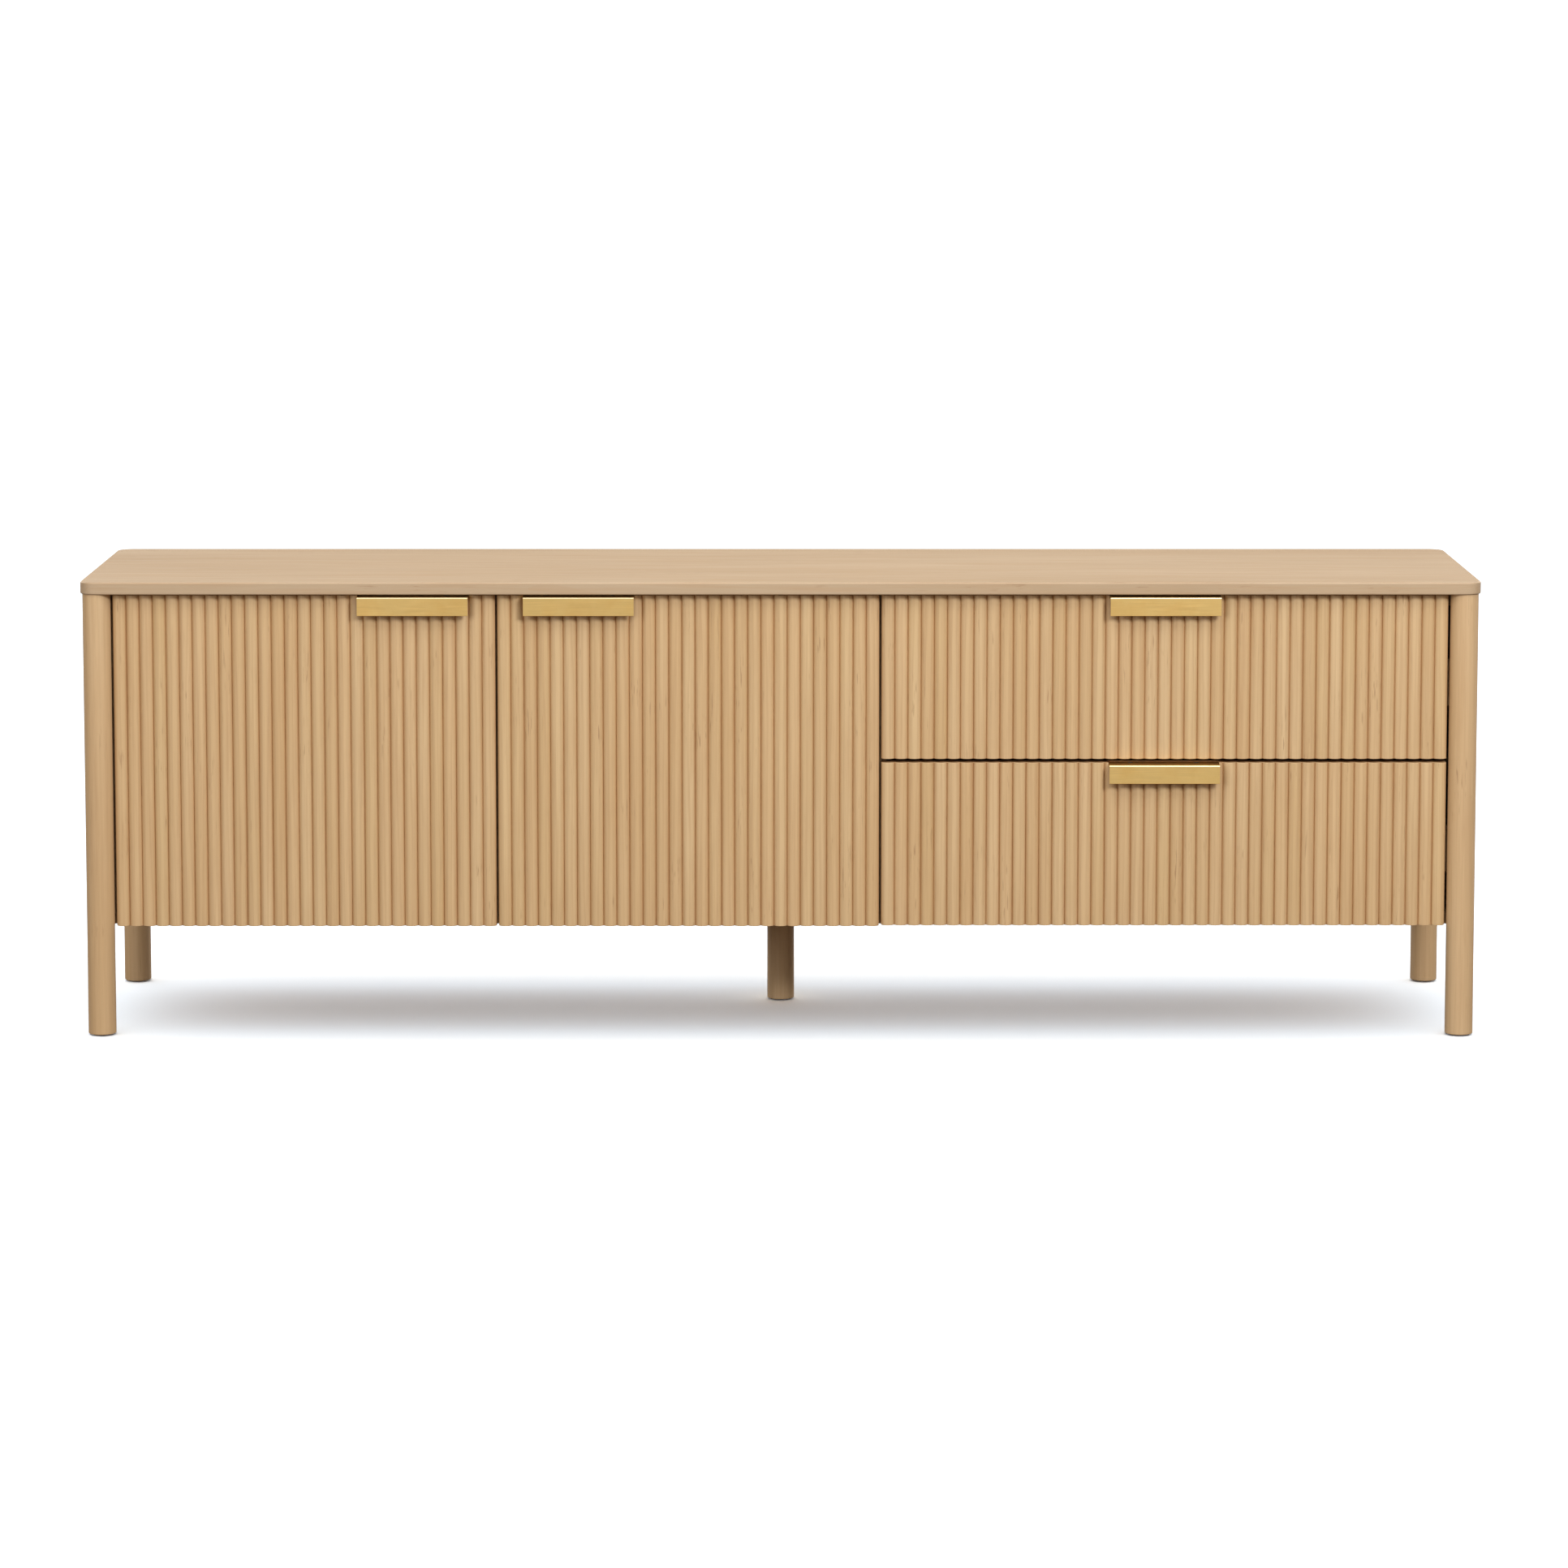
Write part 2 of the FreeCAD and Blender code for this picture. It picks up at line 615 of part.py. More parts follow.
def make_hinge_arms():
    """Arms with an eye around the pin, one for each hinge."""
    arms = []
    for _, _, pin_x in hinge_sides:
        for z in hinge_heights():
            tall = around(z, "dim.arm_high / 2")
            eye = rod((pin_x, pin_y, tall[0]), "z", "dim.arm_high", "dim.eye_dia")
            bar = box(around(pin_x, "dim.arm_thick / 2"), (pin_y, f"{pin_y} + dim.arm_long"), tall)
            bore = rod((pin_x, pin_y, f"{z} - dim.arm_high"), "z", "2 * dim.arm_high",
                       "dim.pin_dia + 2 * dim.pin_fit")
            arms.append(cut(fuse([eye, bar]), [bore]))
    keep(group(arms), "hinge_arms")


def make_hinge_plates():
    """Mounting plates between the arms and the case."""
    plates = []
    for name, side, pin_x in hinge_sides:
        wall = wall_left if side > 0 else f"({wall_drawer} - {half_board})"
        arm_face = offset(-side, pin_x, "dim.arm_thick / 2")
        x_span = (wall, arm_face) if side > 0 else (arm_face, wall)
        for index, z in enumerate(hinge_heights()):
            plate = box(x_span, (f"{pin_y} + dim.plate_front",
                                 f"{pin_y} + dim.plate_front + dim.plate_long"),
                        around(z, "dim.plate_high / 2"))
            holes = [screw_hole(*spot) for spot in plate_screws[name][2 * index:2 * index + 2]]
            plates.append(cut(plate, holes))
    keep(group(plates), "hinge_plates")


def make_hinge_cups(name, side, pin_x, edge):
    """Cups let into the door's back, each open where the arm passes."""
    cups = []
    pins = []
    centre = offset(side, edge, "dim.cup_in")
    wing_x = offset(side, edge, "dim.wing_in")
    for z in hinge_heights():
        shell = rod((centre, board_back, z), "-y", "dim.cup_deep", "dim.cup_dia")
        wing = box(around(wing_x, "dim.wing_wide / 2"),
                   (f"{board_back} - dim.wing_thick", board_back), around(z, "dim.wing_long / 2"))
        hollow = rod((centre, f"{board_back} + dim.over", z), "-y",
                     "dim.cup_deep - dim.cup_wall + dim.over", "dim.cup_dia - 2 * dim.cup_wall")
        window = box(sided(side, pin_x, "-dim.cup_dia", "0"),
                     (f"{board_back} - dim.cup_deep + dim.cup_wall", f"{board_back} + dim.over"),
                     around(z, "dim.arm_high / 2 + dim.arm_room"))
        pin_low = f"{z} - dim.pin_long / 2"
        pin_tool = rod((pin_x, pin_y, pin_low), "z", "dim.pin_long", "dim.pin_dia")
        holes = [screw_hole(*spot) for spot in cup_screw_spots(wing_x, z)]
        ears = [box(around(pin_x, "dim.ear_wide / 2"), (f"{pin_y} - dim.eye_dia / 2", board_back),
                    span)
                for span in ((f"{z} - dim.ear_high", f"{z} - dim.ear_low"),
                             (f"{z} + dim.ear_low", f"{z} + dim.ear_high"))]
        cup = fuse([cut(fuse([shell, wing]), [hollow])] + ears)
        cups.append(cut(cup, [window, pin_tool] + holes))
        pins.append(rod((pin_x, pin_y, pin_low), "z", "dim.pin_long", "dim.pin_dia"))
    keep(group(cups), f"{name}_hinge_cups")
    keep(group(pins), f"{name}_hinge_pins")


def cup_screw_spots(wing_x, z):
    """Two screws through a cup's wing into the door."""
    return [((wing_x, board_back, f"{z} {sign} dim.wing_pitch / 2"), "-y", "dim.cup_screw")
            for sign in ("-", "+")]


def hinge_pockets(side, pin_x, edge):
    """What the hinges need cut out of the door's board."""
    tools = []
    centre = offset(side, edge, "dim.cup_in")
    wing_x = offset(side, edge, "dim.wing_in")
    for z in hinge_heights():
        tools.append(rod((centre, f"{board_back} + dim.over", z), "-y",
                         "dim.cup_deep + dim.fit + dim.over", "dim.cup_dia + 2 * dim.fit"))
        tools.append(box(grown(around(wing_x, "dim.wing_wide / 2"), "dim.fit"),
                         (f"{board_back} - dim.wing_thick - dim.fit",
                          f"{board_back} + dim.over"),
                         grown(around(z, "dim.wing_long / 2"), "dim.fit")))
        tools.append(box(sided(side, edge, "-dim.over", "dim.pin_in + dim.arm_thick"),
                         (f"{board_back} - dim.cup_deep - dim.fit", f"{board_back} + dim.over"),
                         around(z, "dim.arm_high / 2 + dim.arm_room")))
        tools += [screw_hole(*spot) for spot in cup_screw_spots(wing_x, z)]
    # The bevel keeps the board's back corner inside the gap while the door turns.
    bevel = doc.addObject("Part::Box", "bevel")
    for length in ("Length", "Width"):
        bevel.setExpression(length, "dim.edge_cut * sqrt(2)")
    bevel.setExpression("Height", f"{front_top} - {door_low} + 2 * dim.over")
    bevel.Placement = Placement(Vector(), Rotation(Vector(0, 0, 1), 45))
    place(bevel, edge, f"{board_back} - dim.edge_cut", f"{door_low} - dim.over")
    tools.append(bevel)
    return tools


# Fronts: a board, its slats and a pull.

def pull_bottom(top):
    """Underside of the pull's flange, which is the floor of its notch."""
    return f"{top} - dim.pull_drop - dim.pull_thick"


def first_pitch():
    """The slats' pitch as a number, for the profile's first guess."""
    clear = cell("width") - 2 * cell("overhang") - 2 * cell("post_dia") - 4 * cell("gap")
    return clear / (2 * cell("door_slats") + cell("drawer_slats"))


def make_slats(name, x, low, high, count, notch):
    """Half-round slats side by side, cut away where the pull's flange passes."""
    chord = first_pitch() - cell("slat_gap")
    rise = cell("slat_deep")
    radius = (chord ** 2 / 4 + rise ** 2) / (2 * rise)
    half_angle = math.asin(chord / 2 / radius)
    body = new_body("slats")
    profile = new_sketch(body, "slat_profile", "XY_Plane")
    circle = Part.Circle(Vector(chord / 2, radius - rise, 0), Vector(0, 0, 1), radius)
    middle = 1.5 * math.pi
    profile.addGeometry(Part.ArcOfCircle(circle, middle - half_angle, middle + half_angle))
    profile.addGeometry(Part.LineSegment(Vector(chord, 0, 0), Vector()))
    constrain(profile, "Coincident", 0, 1, 1, 2)
    constrain(profile, "Coincident", 0, 2, 1, 1)
    constrain(profile, "Coincident", 1, 2, -1, 1)
    constrain(profile, "Horizontal", 1)
    chord_formula = f"({pitch} - dim.slat_gap)"
    constrain(profile, "DistanceX", 1, 2, 1, 1, value=chord, formula=chord_formula)
    constrain(profile, "Radius", 0, value=radius,
              formula=f"({chord_formula} ^ 2 / 4 + dim.slat_deep ^ 2) / (2 * dim.slat_deep)")
    strip = pad(body, profile, f"{high} - {low}")
    row = body.newObject("PartDesign::LinearPattern", "row")
    row.Originals = [strip]
    row.Direction = (profile, ["H_Axis"])
    row.setExpression("Length", f"{pitch} * ({count} - 1)")
    row.setExpression("Occurrences", count)
    body.Tip = row
    place(body, f"{x} + dim.slat_gap / 2", board_front, low)
    keep(cut(body, [notch]), f"{name}_slats")


def make_pull(name, x, top, screws):
    """Edge pull: a flange let into the front's upper edge and a plate hanging before it."""
    plate, tall = cell("pull_thick"), cell("pull_high")
    deep = (cell("overhang") + cell("post_dia") - cell("door_clear") - cell("door_thick")
            + cell("pull_seat"))
    deep_formula = "dim.overhang + dim.post_dia - dim.door_clear - dim.door_thick + dim.pull_seat"
    seat = tall - plate
    body = new_body("pull")
    profile = new_sketch(body, "pull_profile", "YZ_Plane")
    polygon(profile, [
        (0, 0, "", ""),
        (plate, 0, "dim.pull_thick", ""),
        (plate, seat, "dim.pull_thick", "dim.pull_high - dim.pull_thick"),
        (deep, seat, deep_formula, "dim.pull_high - dim.pull_thick"),
        (deep, tall, deep_formula, "dim.pull_high"),
        (0, tall, "", "dim.pull_high"),
    ])
    bar = pad(body, profile, "dim.pull_wide")
    brow = edges_where(bar, lambda p: near(p.y, 0) and near(p.z, tall))
    rounded = dress(body, "Fillet", bar, brow, "Radius", "dim.pull_round")
    lip = edges_where(rounded, lambda p: near(p.z, 0) and (near(p.y, 0) or near(p.y, plate)))
    dress(body, "Fillet", rounded, lip, "Radius", "dim.pull_lip")
    place(body, x, "-dim.depth / 2", f"{top} - dim.pull_drop - dim.pull_high")
    keep(cut(body, [screw_hole(*spot) for spot in screws]), f"{name}_pull")


def make_front(name, x, wide, low, top, count, pull_x, extra_cuts, extra_screws):
    """A reeded front: board, slats, pull and screws."""
    screw_y = f"{board_front} + dim.pull_seat / 2"
    screw_z = f"{top} - dim.pull_drop"
    pull_screws = [((x_place, screw_y, screw_z), "-z", "dim.pull_screw")
                   for x_place in (f"{pull_x} + dim.pull_screw_in",
                                   f"{pull_x} + dim.pull_wide - dim.pull_screw_in")]
    notch_x = grown((pull_x, f"{pull_x} + dim.pull_wide"), "dim.pull_room")
    notch_y = ("-dim.depth / 2", f"{board_front} + dim.pull_seat + dim.pull_room")
    notch = box(notch_x, notch_y, (pull_bottom(top), f"{top} + dim.over"))
    board = box((x, f"{x} + {wide}"), (board_front, board_back), (low, top))
    holes = [screw_hole(*spot) for spot in pull_screws]
    keep(cut(board, [notch] + holes + extra_cuts), f"{name}_board")
    make_slats(name, x, low, top, count, notch)
    make_pull(name, pull_x, top, pull_screws)
    keep(group([screw(*spot) for spot in pull_screws + extra_screws]), f"{name}_screws")


# Drawers: a box behind each front, on a pair of telescopic slides.

def slide_z(low):
    """Centre height of a drawer's slides."""
    return f"({low} + dim.box_lift + dim.box_high / 2)"


def slide_walls():
    """Wall face of each slide and the way to the drawer."""
    return ((f"({wall_drawer} + {half_board})", 1), (wall_right, -1))


def channel(wall, side, start, end, half_high, low, opens_to_drawer):
    """One slide member: a channel open towards the drawer or towards the wall."""
    y_span = (slide_front, f"{slide_front} + dim.slide_long")
    bar = box(sided(side, wall, start, end), y_span, around(slide_z(low), half_high))
    if opens_to_drawer:
        inside = sided(side, wall, f"{start} + dim.slide_metal", f"{end} + dim.over")
    else:
        inside = sided(side, wall, f"{start} - dim.over", f"{end} - dim.slide_metal")
    hollow = box(inside, grown(y_span, "dim.over"),
                 around(slide_z(low), f"{half_high} - dim.slide_metal"))
    return cut(bar, [hollow])


def slide_screw_spots(low, wall, side, at, toward_wall):
    """Two screws through a slide member's web."""
    towards_plus = (side < 0) == toward_wall
    direction = "x" if towards_plus else "-x"
    return [((offset(side, wall, at), y, slide_z(low)), direction, "dim.box_thick")
            for y in (f"{slide_front} + dim.slide_end",
                      f"{slide_front} + dim.slide_long - dim.slide_end")]


def make_slides(name, low):
    """Middle and drawer members of one drawer's slides."""
    middle_half = "dim.outer_high / 2 - dim.slide_metal - dim.slide_play"
    inner_half = f"{middle_half} - dim.slide_metal - dim.slide_play"
    middles = []
    inners = []
    for wall, side in slide_walls():
        middles.append(channel(wall, side, "dim.middle_in", "dim.middle_in + dim.middle_deep",
                               middle_half, low, True))
        inner = channel(wall, side, "dim.slide_room - dim.inner_deep", "dim.slide_room",
                        inner_half, low, False)
        holes = slide_screw_spots(low, wall, side, "dim.slide_room - dim.slide_metal", False)
        inners.append(cut(inner, [screw_hole(*spot) for spot in holes]))
    keep(group(middles), f"{name}_slide_middles")
    keep(group(inners), f"{name}_slide_inners")


def make_slide_outers():
    """Fixed members of both drawers' slides."""
    outers = []
    for low in drawer_lows:
        for wall, side in slide_walls():
            outer = channel(wall, side, "0", "dim.outer_deep", "dim.outer_high / 2", low, True)
            holes = slide_screw_spots(low, wall, side, "dim.slide_metal", True)
            outers.append(cut(outer, [screw_hole(*spot) for spot in holes]))
    keep(group(outers), "slide_outers")


def box_x(low_side):
    """Outer faces of the drawer box."""
    if low_side:
        return f"({wall_drawer} + {half_board} + dim.slide_room)"
    return f"({wall_right} - dim.slide_room)"


def front_screw_spots(low):
    """Screws from inside the box into the front's board."""
    spots = []
    for x in (f"{box_x(True)} + dim.front_screw_in", f"{box_x(False)} - dim.front_screw_in"):
        for share in ("dim.front_screw_low", "dim.front_screw_high"):
            z = f"{low} + dim.box_lift + dim.box_high * {share}"
            spots.append(((x, f"{board_back} + dim.box_thick", z), "-y", "dim.front_screw"))
    return spots


def make_drawer_box(name, low):
    """Sides, ends and grooved-in bottom of one drawer."""
    box_low = f"({low} + dim.box_lift)"
    z_span = (box_low, f"{box_low} + dim.box_high")
    x_in = (f"{box_x(True)} + dim.box_thick", f"{box_x(False)} - dim.box_thick")
    y_span = (board_back, f"{board_back} + dim.box_long")
    y_in = (f"{board_back} + dim.box_thick", f"{board_back} + dim.box_long - dim.box_thick")
    base = (f"{box_low} + dim.base_lift", f"{box_low} + dim.base_lift + dim.base_thick")
    groove = box(grown(x_in, "dim.base_in + dim.fit"), grown(y_in, "dim.base_in + dim.fit"),
                 grown(base, "dim.fit"))
    sides = []
    for (wall, side), x in zip(slide_walls(), ((box_x(True), x_in[0]), (x_in[1], box_x(False)))):
        holes = slide_screw_spots(low, wall, side, "dim.slide_room - dim.slide_metal", False)
        sides.append(cut(box(x, y_span, z_span),
                         [groove] + [screw_hole(*spot) for spot in holes]))
    keep(group(sides), f"{name}_sides")
    holes = [screw_hole(*spot) for spot in front_screw_spots(low)]
    front_end = cut(box(x_in, (board_back, y_in[0]), z_span), [groove] + holes)
    back_end = cut(box(x_in, (y_in[1], y_span[1]), z_span), [groove])
    keep(group([front_end, back_end]), f"{name}_ends")
    keep(box(grown(x_in, "dim.base_in"), grown(y_in, "dim.base_in"), base), f"{name}_bottom")


# Shared lists of places.

post_spots = [(f"({x}{post_x})", f"({y}{post_y})", name, slot)
              for x, word in (("-", "left"), ("", "right"))
              for y, name, slot in (("-", f"post_front_{word}", 1), ("", f"post_rear_{word}", -1))]
drawer_lows = [f"({drawer_low} + {drawer_high} + dim.drawer_gap)", drawer_low]
peg_places = [f"({case_front} + dim.shelf_front + dim.peg_inset)",
              f"({back_front} - dim.shelf_back - dim.peg_inset)"]
peg_rows = [(y, f"{shelf_low} - dim.peg_dia / 2 + dim.peg_pitch * ({step})")
            for y in peg_places for step in peg_steps]
rail_screws = rail_screw_spots(True) + rail_screw_spots(False)
floor_screws = floor_screw_spots(wall_centre) + floor_screw_spots(wall_drawer)
batten_screws = [((wall_left, f"{case_front} + dim.batten_wide / 2",
                   f"({floor_top} + {rail_low}) / 2 + {step} * dim.hinge_end"), "-x",
                  f"{wall_left} + {side_in} + dim.batten_screw") for step in (-1, 0, 1)]
hinge_sides = [("left_door", 1, f"({left_door_x} + dim.pin_in)"),
               ("middle_door", -1, f"({middle_door_x} + {door_wide} - dim.pin_in)")]
plate_screws = {
    name: [((offset(-side, pin_x, "dim.arm_thick / 2"),
             f"{pin_y} + dim.plate_front + dim.plate_long / 2",
             f"{z} {sign} dim.plate_pitch / 2"), "-x" if side > 0 else "x", "dim.plate_screw")
           for z in hinge_heights() for sign in ("-", "+")]
    for name, side, pin_x in hinge_sides
}
slide_screws = [spot for low in drawer_lows for wall, side in slide_walls()
                for spot in slide_screw_spots(low, wall, side, "dim.slide_metal", True)]


make_slab()
for x, y, name, slot in post_spots:
    make_post(name, x, y, slot)
make_centre_leg()
make_glides()
make_dowels()
make_side_panel("side_panel_left", -1)
make_side_panel("side_panel_right", 1)
make_floor()
make_rails()
make_partitions()
make_backs()
make_battens()
make_shelves()
make_pads()
make_hinge_arms()
make_hinge_plates()
make_slide_outers()
case_screw_spots = (rail_screws + floor_screws + batten_screws + slide_screws
                    + plate_screws["left_door"] + plate_screws["middle_door"])
keep(group([screw(*spot) for spot in case_screw_spots]), "case_screws")

door_pulls = {
    "left_door": f"({left_door_x} + {door_wide} - dim.pull_edge - dim.pull_wide)",
    "middle_door": f"({middle_door_x} + dim.pull_edge)",
}
for name, side, pin_x in hinge_sides:
    x = left_door_x if side > 0 else middle_door_x
    edge = left_door_x if side > 0 else f"({middle_door_x} + {door_wide})"
    wing_x = offset(side, edge, "dim.wing_in")
    cup_screws = [spot for z in hinge_heights() for spot in cup_screw_spots(wing_x, z)]
    make_front(name, x, door_wide, door_low, front_top, "dim.door_slats", door_pulls[name],
               hinge_pockets(side, pin_x, edge), cup_screws)
    make_hinge_cups(name, side, pin_x, edge)

drawer_pull = f"({drawer_x} + {drawer_wide} / 2 - dim.pull_wide / 2)"
for name, low in zip(("upper_drawer", "lower_drawer"), drawer_lows):
    front_spots = front_screw_spots(low)
    runner_spots = [spot for wall, side in slide_walls()
                    for spot in slide_screw_spots(low, wall, side,
                                                  "dim.slide_room - dim.slide_metal", False)]
    make_front(name, drawer_x, drawer_wide, low, f"({low} + {drawer_high})", "dim.drawer_slats",
               drawer_pull, [screw_hole(*spot) for spot in front_spots],
               front_spots + runner_spots)
    make_drawer_box(name, low)
    make_slides(name, low)

doc.recompute()

for item in doc.Objects:
    if "Invalid" in item.State or "Error" in item.State:
        raise RuntimeError(f"{item.Name} ({item.Label}) did not build: {item.State}")
for piece in pieces:
    if piece.Shape.isNull() or not piece.Shape.isValid() or not piece.Shape.Solids:
        raise RuntimeError(f"{piece.Label} has no valid solid")

os.makedirs("parts", exist_ok=True)
for piece in pieces:
    piece.Shape.exportStep(f"parts/{piece.Label}.step")
print(len(pieces), "sub-parts written")
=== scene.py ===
import bmesh
import bpy
import math
import random
from mathutils import Matrix, Vector


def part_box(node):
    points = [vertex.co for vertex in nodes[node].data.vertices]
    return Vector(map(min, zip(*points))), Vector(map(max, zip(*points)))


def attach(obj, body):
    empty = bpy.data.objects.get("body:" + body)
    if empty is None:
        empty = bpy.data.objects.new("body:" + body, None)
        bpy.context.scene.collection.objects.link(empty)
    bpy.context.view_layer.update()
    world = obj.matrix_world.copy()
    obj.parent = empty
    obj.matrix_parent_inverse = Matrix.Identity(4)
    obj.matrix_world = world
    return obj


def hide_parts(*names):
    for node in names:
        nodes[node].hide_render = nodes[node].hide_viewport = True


# Media cabinet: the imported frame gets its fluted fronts, posts, top and brass pulls
# as finished pieces, and every part its wood, brass, steel or plastic.

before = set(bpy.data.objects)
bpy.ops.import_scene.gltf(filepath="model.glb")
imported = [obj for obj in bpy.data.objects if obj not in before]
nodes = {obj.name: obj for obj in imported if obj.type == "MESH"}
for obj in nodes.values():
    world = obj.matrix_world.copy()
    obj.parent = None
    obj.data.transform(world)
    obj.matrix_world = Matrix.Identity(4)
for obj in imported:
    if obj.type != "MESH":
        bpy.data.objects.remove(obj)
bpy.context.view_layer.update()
print("frame loaded,", len(nodes), "parts")


# Small tools for modelling. Two places closer than "touch" are the same

touch = 0.0001


def clearSelection():
    if bpy.context.object and bpy.context.object.mode != "OBJECT":
        bpy.ops.object.mode_set(mode="OBJECT")
    bpy.ops.object.select_all(action="DESELECT")


def settle(piece, name):
    # the place and size go into the mesh, the object stays at the origin
    piece.name = name
    piece.data.name = name
    bpy.ops.object.transform_apply(location=True, rotation=True, scale=True)
    return piece


def addBlock(name, low, high):
    clearSelection()
    bpy.ops.mesh.primitive_cube_add(size=1, location=(Vector(low) + Vector(high)) / 2)
    piece = bpy.context.object
    piece.scale = Vector(high) - Vector(low)
    return settle(piece, name)


def addRod(name, foot, length, radius, sides, turn=0):
    # an upright round bar that stands on the point foot
    clearSelection()
    bpy.ops.mesh.primitive_cylinder_add(
        vertices=sides, radius=radius, depth=length, end_fill_type="NGON",
        location=Vector(foot) + Vector((0, 0, length / 2)), rotation=(0, 0, turn))
    return settle(bpy.context.object, name)


def pickEdges(piece, test):
    # test is given the two ends of each edge
    bpy.ops.object.mode_set(mode="EDIT")
    bpy.ops.mesh.select_mode(type="EDGE")
    bpy.ops.mesh.select_all(action="DESELECT")
    mesh = bmesh.from_edit_mesh(piece.data)
    for edge in mesh.edges:
        edge.select_set(test(edge.verts[0].co, edge.verts[1].co))
    bmesh.update_edit_mesh(piece.data)


def pickFaces(piece, test):
    # test is given each face's middle and normal
    bpy.ops.object.mode_set(mode="EDIT")
    bpy.ops.mesh.select_mode(type="FACE")
    bpy.ops.mesh.select_all(action="DESELECT")
    mesh = bmesh.from_edit_mesh(piece.data)
    mesh.faces.ensure_lookup_table()
    for face in mesh.faces:
        face.select_set(test(face.calc_center_median(), face.normal))
    bmesh.update_edit_mesh(piece.data)


def roundEdges(piece, test, size, steps):
    pickEdges(piece, test)
    bpy.ops.mesh.bevel(offset=size, segments=steps, affect="EDGES")
    bpy.ops.object.mode_set(mode="OBJECT")


def smooth(piece, degrees=35):
    clearSelection()
    piece.select_set(True)
    bpy.context.view_layer.objects.active = piece
    bpy.ops.object.mode_set(mode="EDIT")
    bpy.ops.mesh.select_all(action="SELECT")
    bpy.ops.mesh.normals_make_consistent(inside=False)
    bpy.ops.object.mode_set(mode="OBJECT")
    bpy.ops.object.shade_smooth_by_angle(angle=math.radians(degrees))
    weighted = piece.modifiers.new("flatFaces", "WEIGHTED_NORMAL")
    weighted.keep_sharp = True
    bpy.ops.object.modifier_apply(modifier=weighted.name)


def carve(piece, cutter):
    # takes the cutter's shape out of the piece
    clearSelection()
    bpy.context.view_layer.objects.active = piece
    piece.select_set(True)
    cutting = piece.modifiers.new("carve", "BOOLEAN")
    cutting.operation = "DIFFERENCE"
    cutting.solver = "EXACT"
    cutting.object = cutter
    bpy.ops.object.modifier_apply(modifier=cutting.name)


def copyMoved(piece, name, shift):
    copy = piece.copy()
    copy.data = piece.data.copy()
    copy.name = name
    copy.data.name = name
    copy.data.transform(Matrix.Translation(shift))
    bpy.context.collection.objects.link(copy)
    return copy


def joinAll(pieces, name):
    clearSelection()
    for piece in pieces:
        piece.select_set(True)
    bpy.context.view_layer.objects.active = pieces[0]
    bpy.ops.object.join()
    joined = bpy.context.object
    joined.name = name
    joined.data.name = name
    return joined


def discard(piece):
    mesh = piece.data
    bpy.data.objects.remove(piece)
    bpy.data.meshes.remove(mesh)


def finishPiece(piece, body, material, slot, *replaced):
    piece.data.materials.clear()
    piece.data.materials.append(material)
    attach(piece, body)
    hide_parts(*replaced)


# Small tools for materials

def newMaterial(name):
    material = bpy.data.materials.new(name)
    material.use_nodes = True
    return material, material.node_tree, material.node_tree.nodes["Principled BSDF"]


def addNode(tree, kind, **settings):
    node = tree.nodes.new(kind)
    for setting, value in settings.items():
        setattr(node, setting, value)
    return node


def addNoise(tree, where, stretch, scale, detail, rough=0.55):
    mapping = addNode(tree, "ShaderNodeMapping")
    mapping.inputs["Scale"].default_value = stretch
    tree.links.new(where, mapping.inputs["Vector"])
    noise = addNode(tree, "ShaderNodeTexNoise")
    noise.inputs["Scale"].default_value = scale
    noise.inputs["Detail"].default_value = detail
    noise.inputs["Roughness"].default_value = rough
    tree.links.new(mapping.outputs["Vector"], noise.inputs["Vector"])
    return noise.outputs["Fac"]


def spread(tree, value, low, high, toLow=0.0, toHigh=1.0):
    # stretches the part of a pattern between low and high over a new range
    ranged = addNode(tree, "ShaderNodeMapRange", clamp=True)
    ranged.inputs["From Min"].default_value = low
    ranged.inputs["From Max"].default_value = high
    ranged.inputs["To Min"].default_value = toLow
    ranged.inputs["To Max"].default_value = toHigh
    tree.links.new(value, ranged.inputs["Value"])
    return ranged.outputs["Result"]


def blendColour(tree, factor, first, second, mode="MIX"):
    mix = addNode(tree, "ShaderNodeMix", data_type="RGBA", blend_type=mode)
    for socket, value in ((mix.inputs["Factor"], factor), (mix.inputs[6], first),
                          (mix.inputs[7], second)):
        if isinstance(value, bpy.types.NodeSocket):
            tree.links.new(value, socket)
        elif isinstance(value, (int, float)):
            socket.default_value = value
        else:
            socket.default_value = (*value, 1)
    return mix.outputs[2]


def addUp(tree, first, second, share):
    # first + second x share, for heights and roughness
    total = addNode(tree, "ShaderNodeMath", operation="MULTIPLY_ADD")
    tree.links.new(second, total.inputs[0])
    total.inputs[1].default_value = share
    tree.links.new(first, total.inputs[2])
    return total.outputs["Value"]


def addBump(tree, shader, height, strength, distance):
    bump = addNode(tree, "ShaderNodeBump")
    bump.inputs["Strength"].default_value = strength
    bump.inputs["Distance"].default_value = distance
    tree.links.new(height, bump.inputs["Height"])
    tree.links.new(bump.outputs["Normal"], shader.inputs["Normal"])


# Woods. "along" is the grain's axis, the colours are linear

woodLook = {
    "along": "Z",
    "pale": (0.640, 0.462, 0.260),
    "honey": (0.580, 0.398, 0.205),
    "line": (0.430, 0.250, 0.118),     # growth lines
    "fleck": (0.270, 0.140, 0.062),    # pores and small knots
    "groove": (0.440, 0.190, 0.050),   # painted shade between strips, darker and redder
    "grooveShare": 0.42,
    "lineShare": 0.26,
    "fleckShare": 0.55,
    "streakShare": 0.42,
    "lineScale": 46,
    "roughLow": 0.46,
    "roughHigh": 0.62,
    "bump": 0.22,
    "strips": False,
}

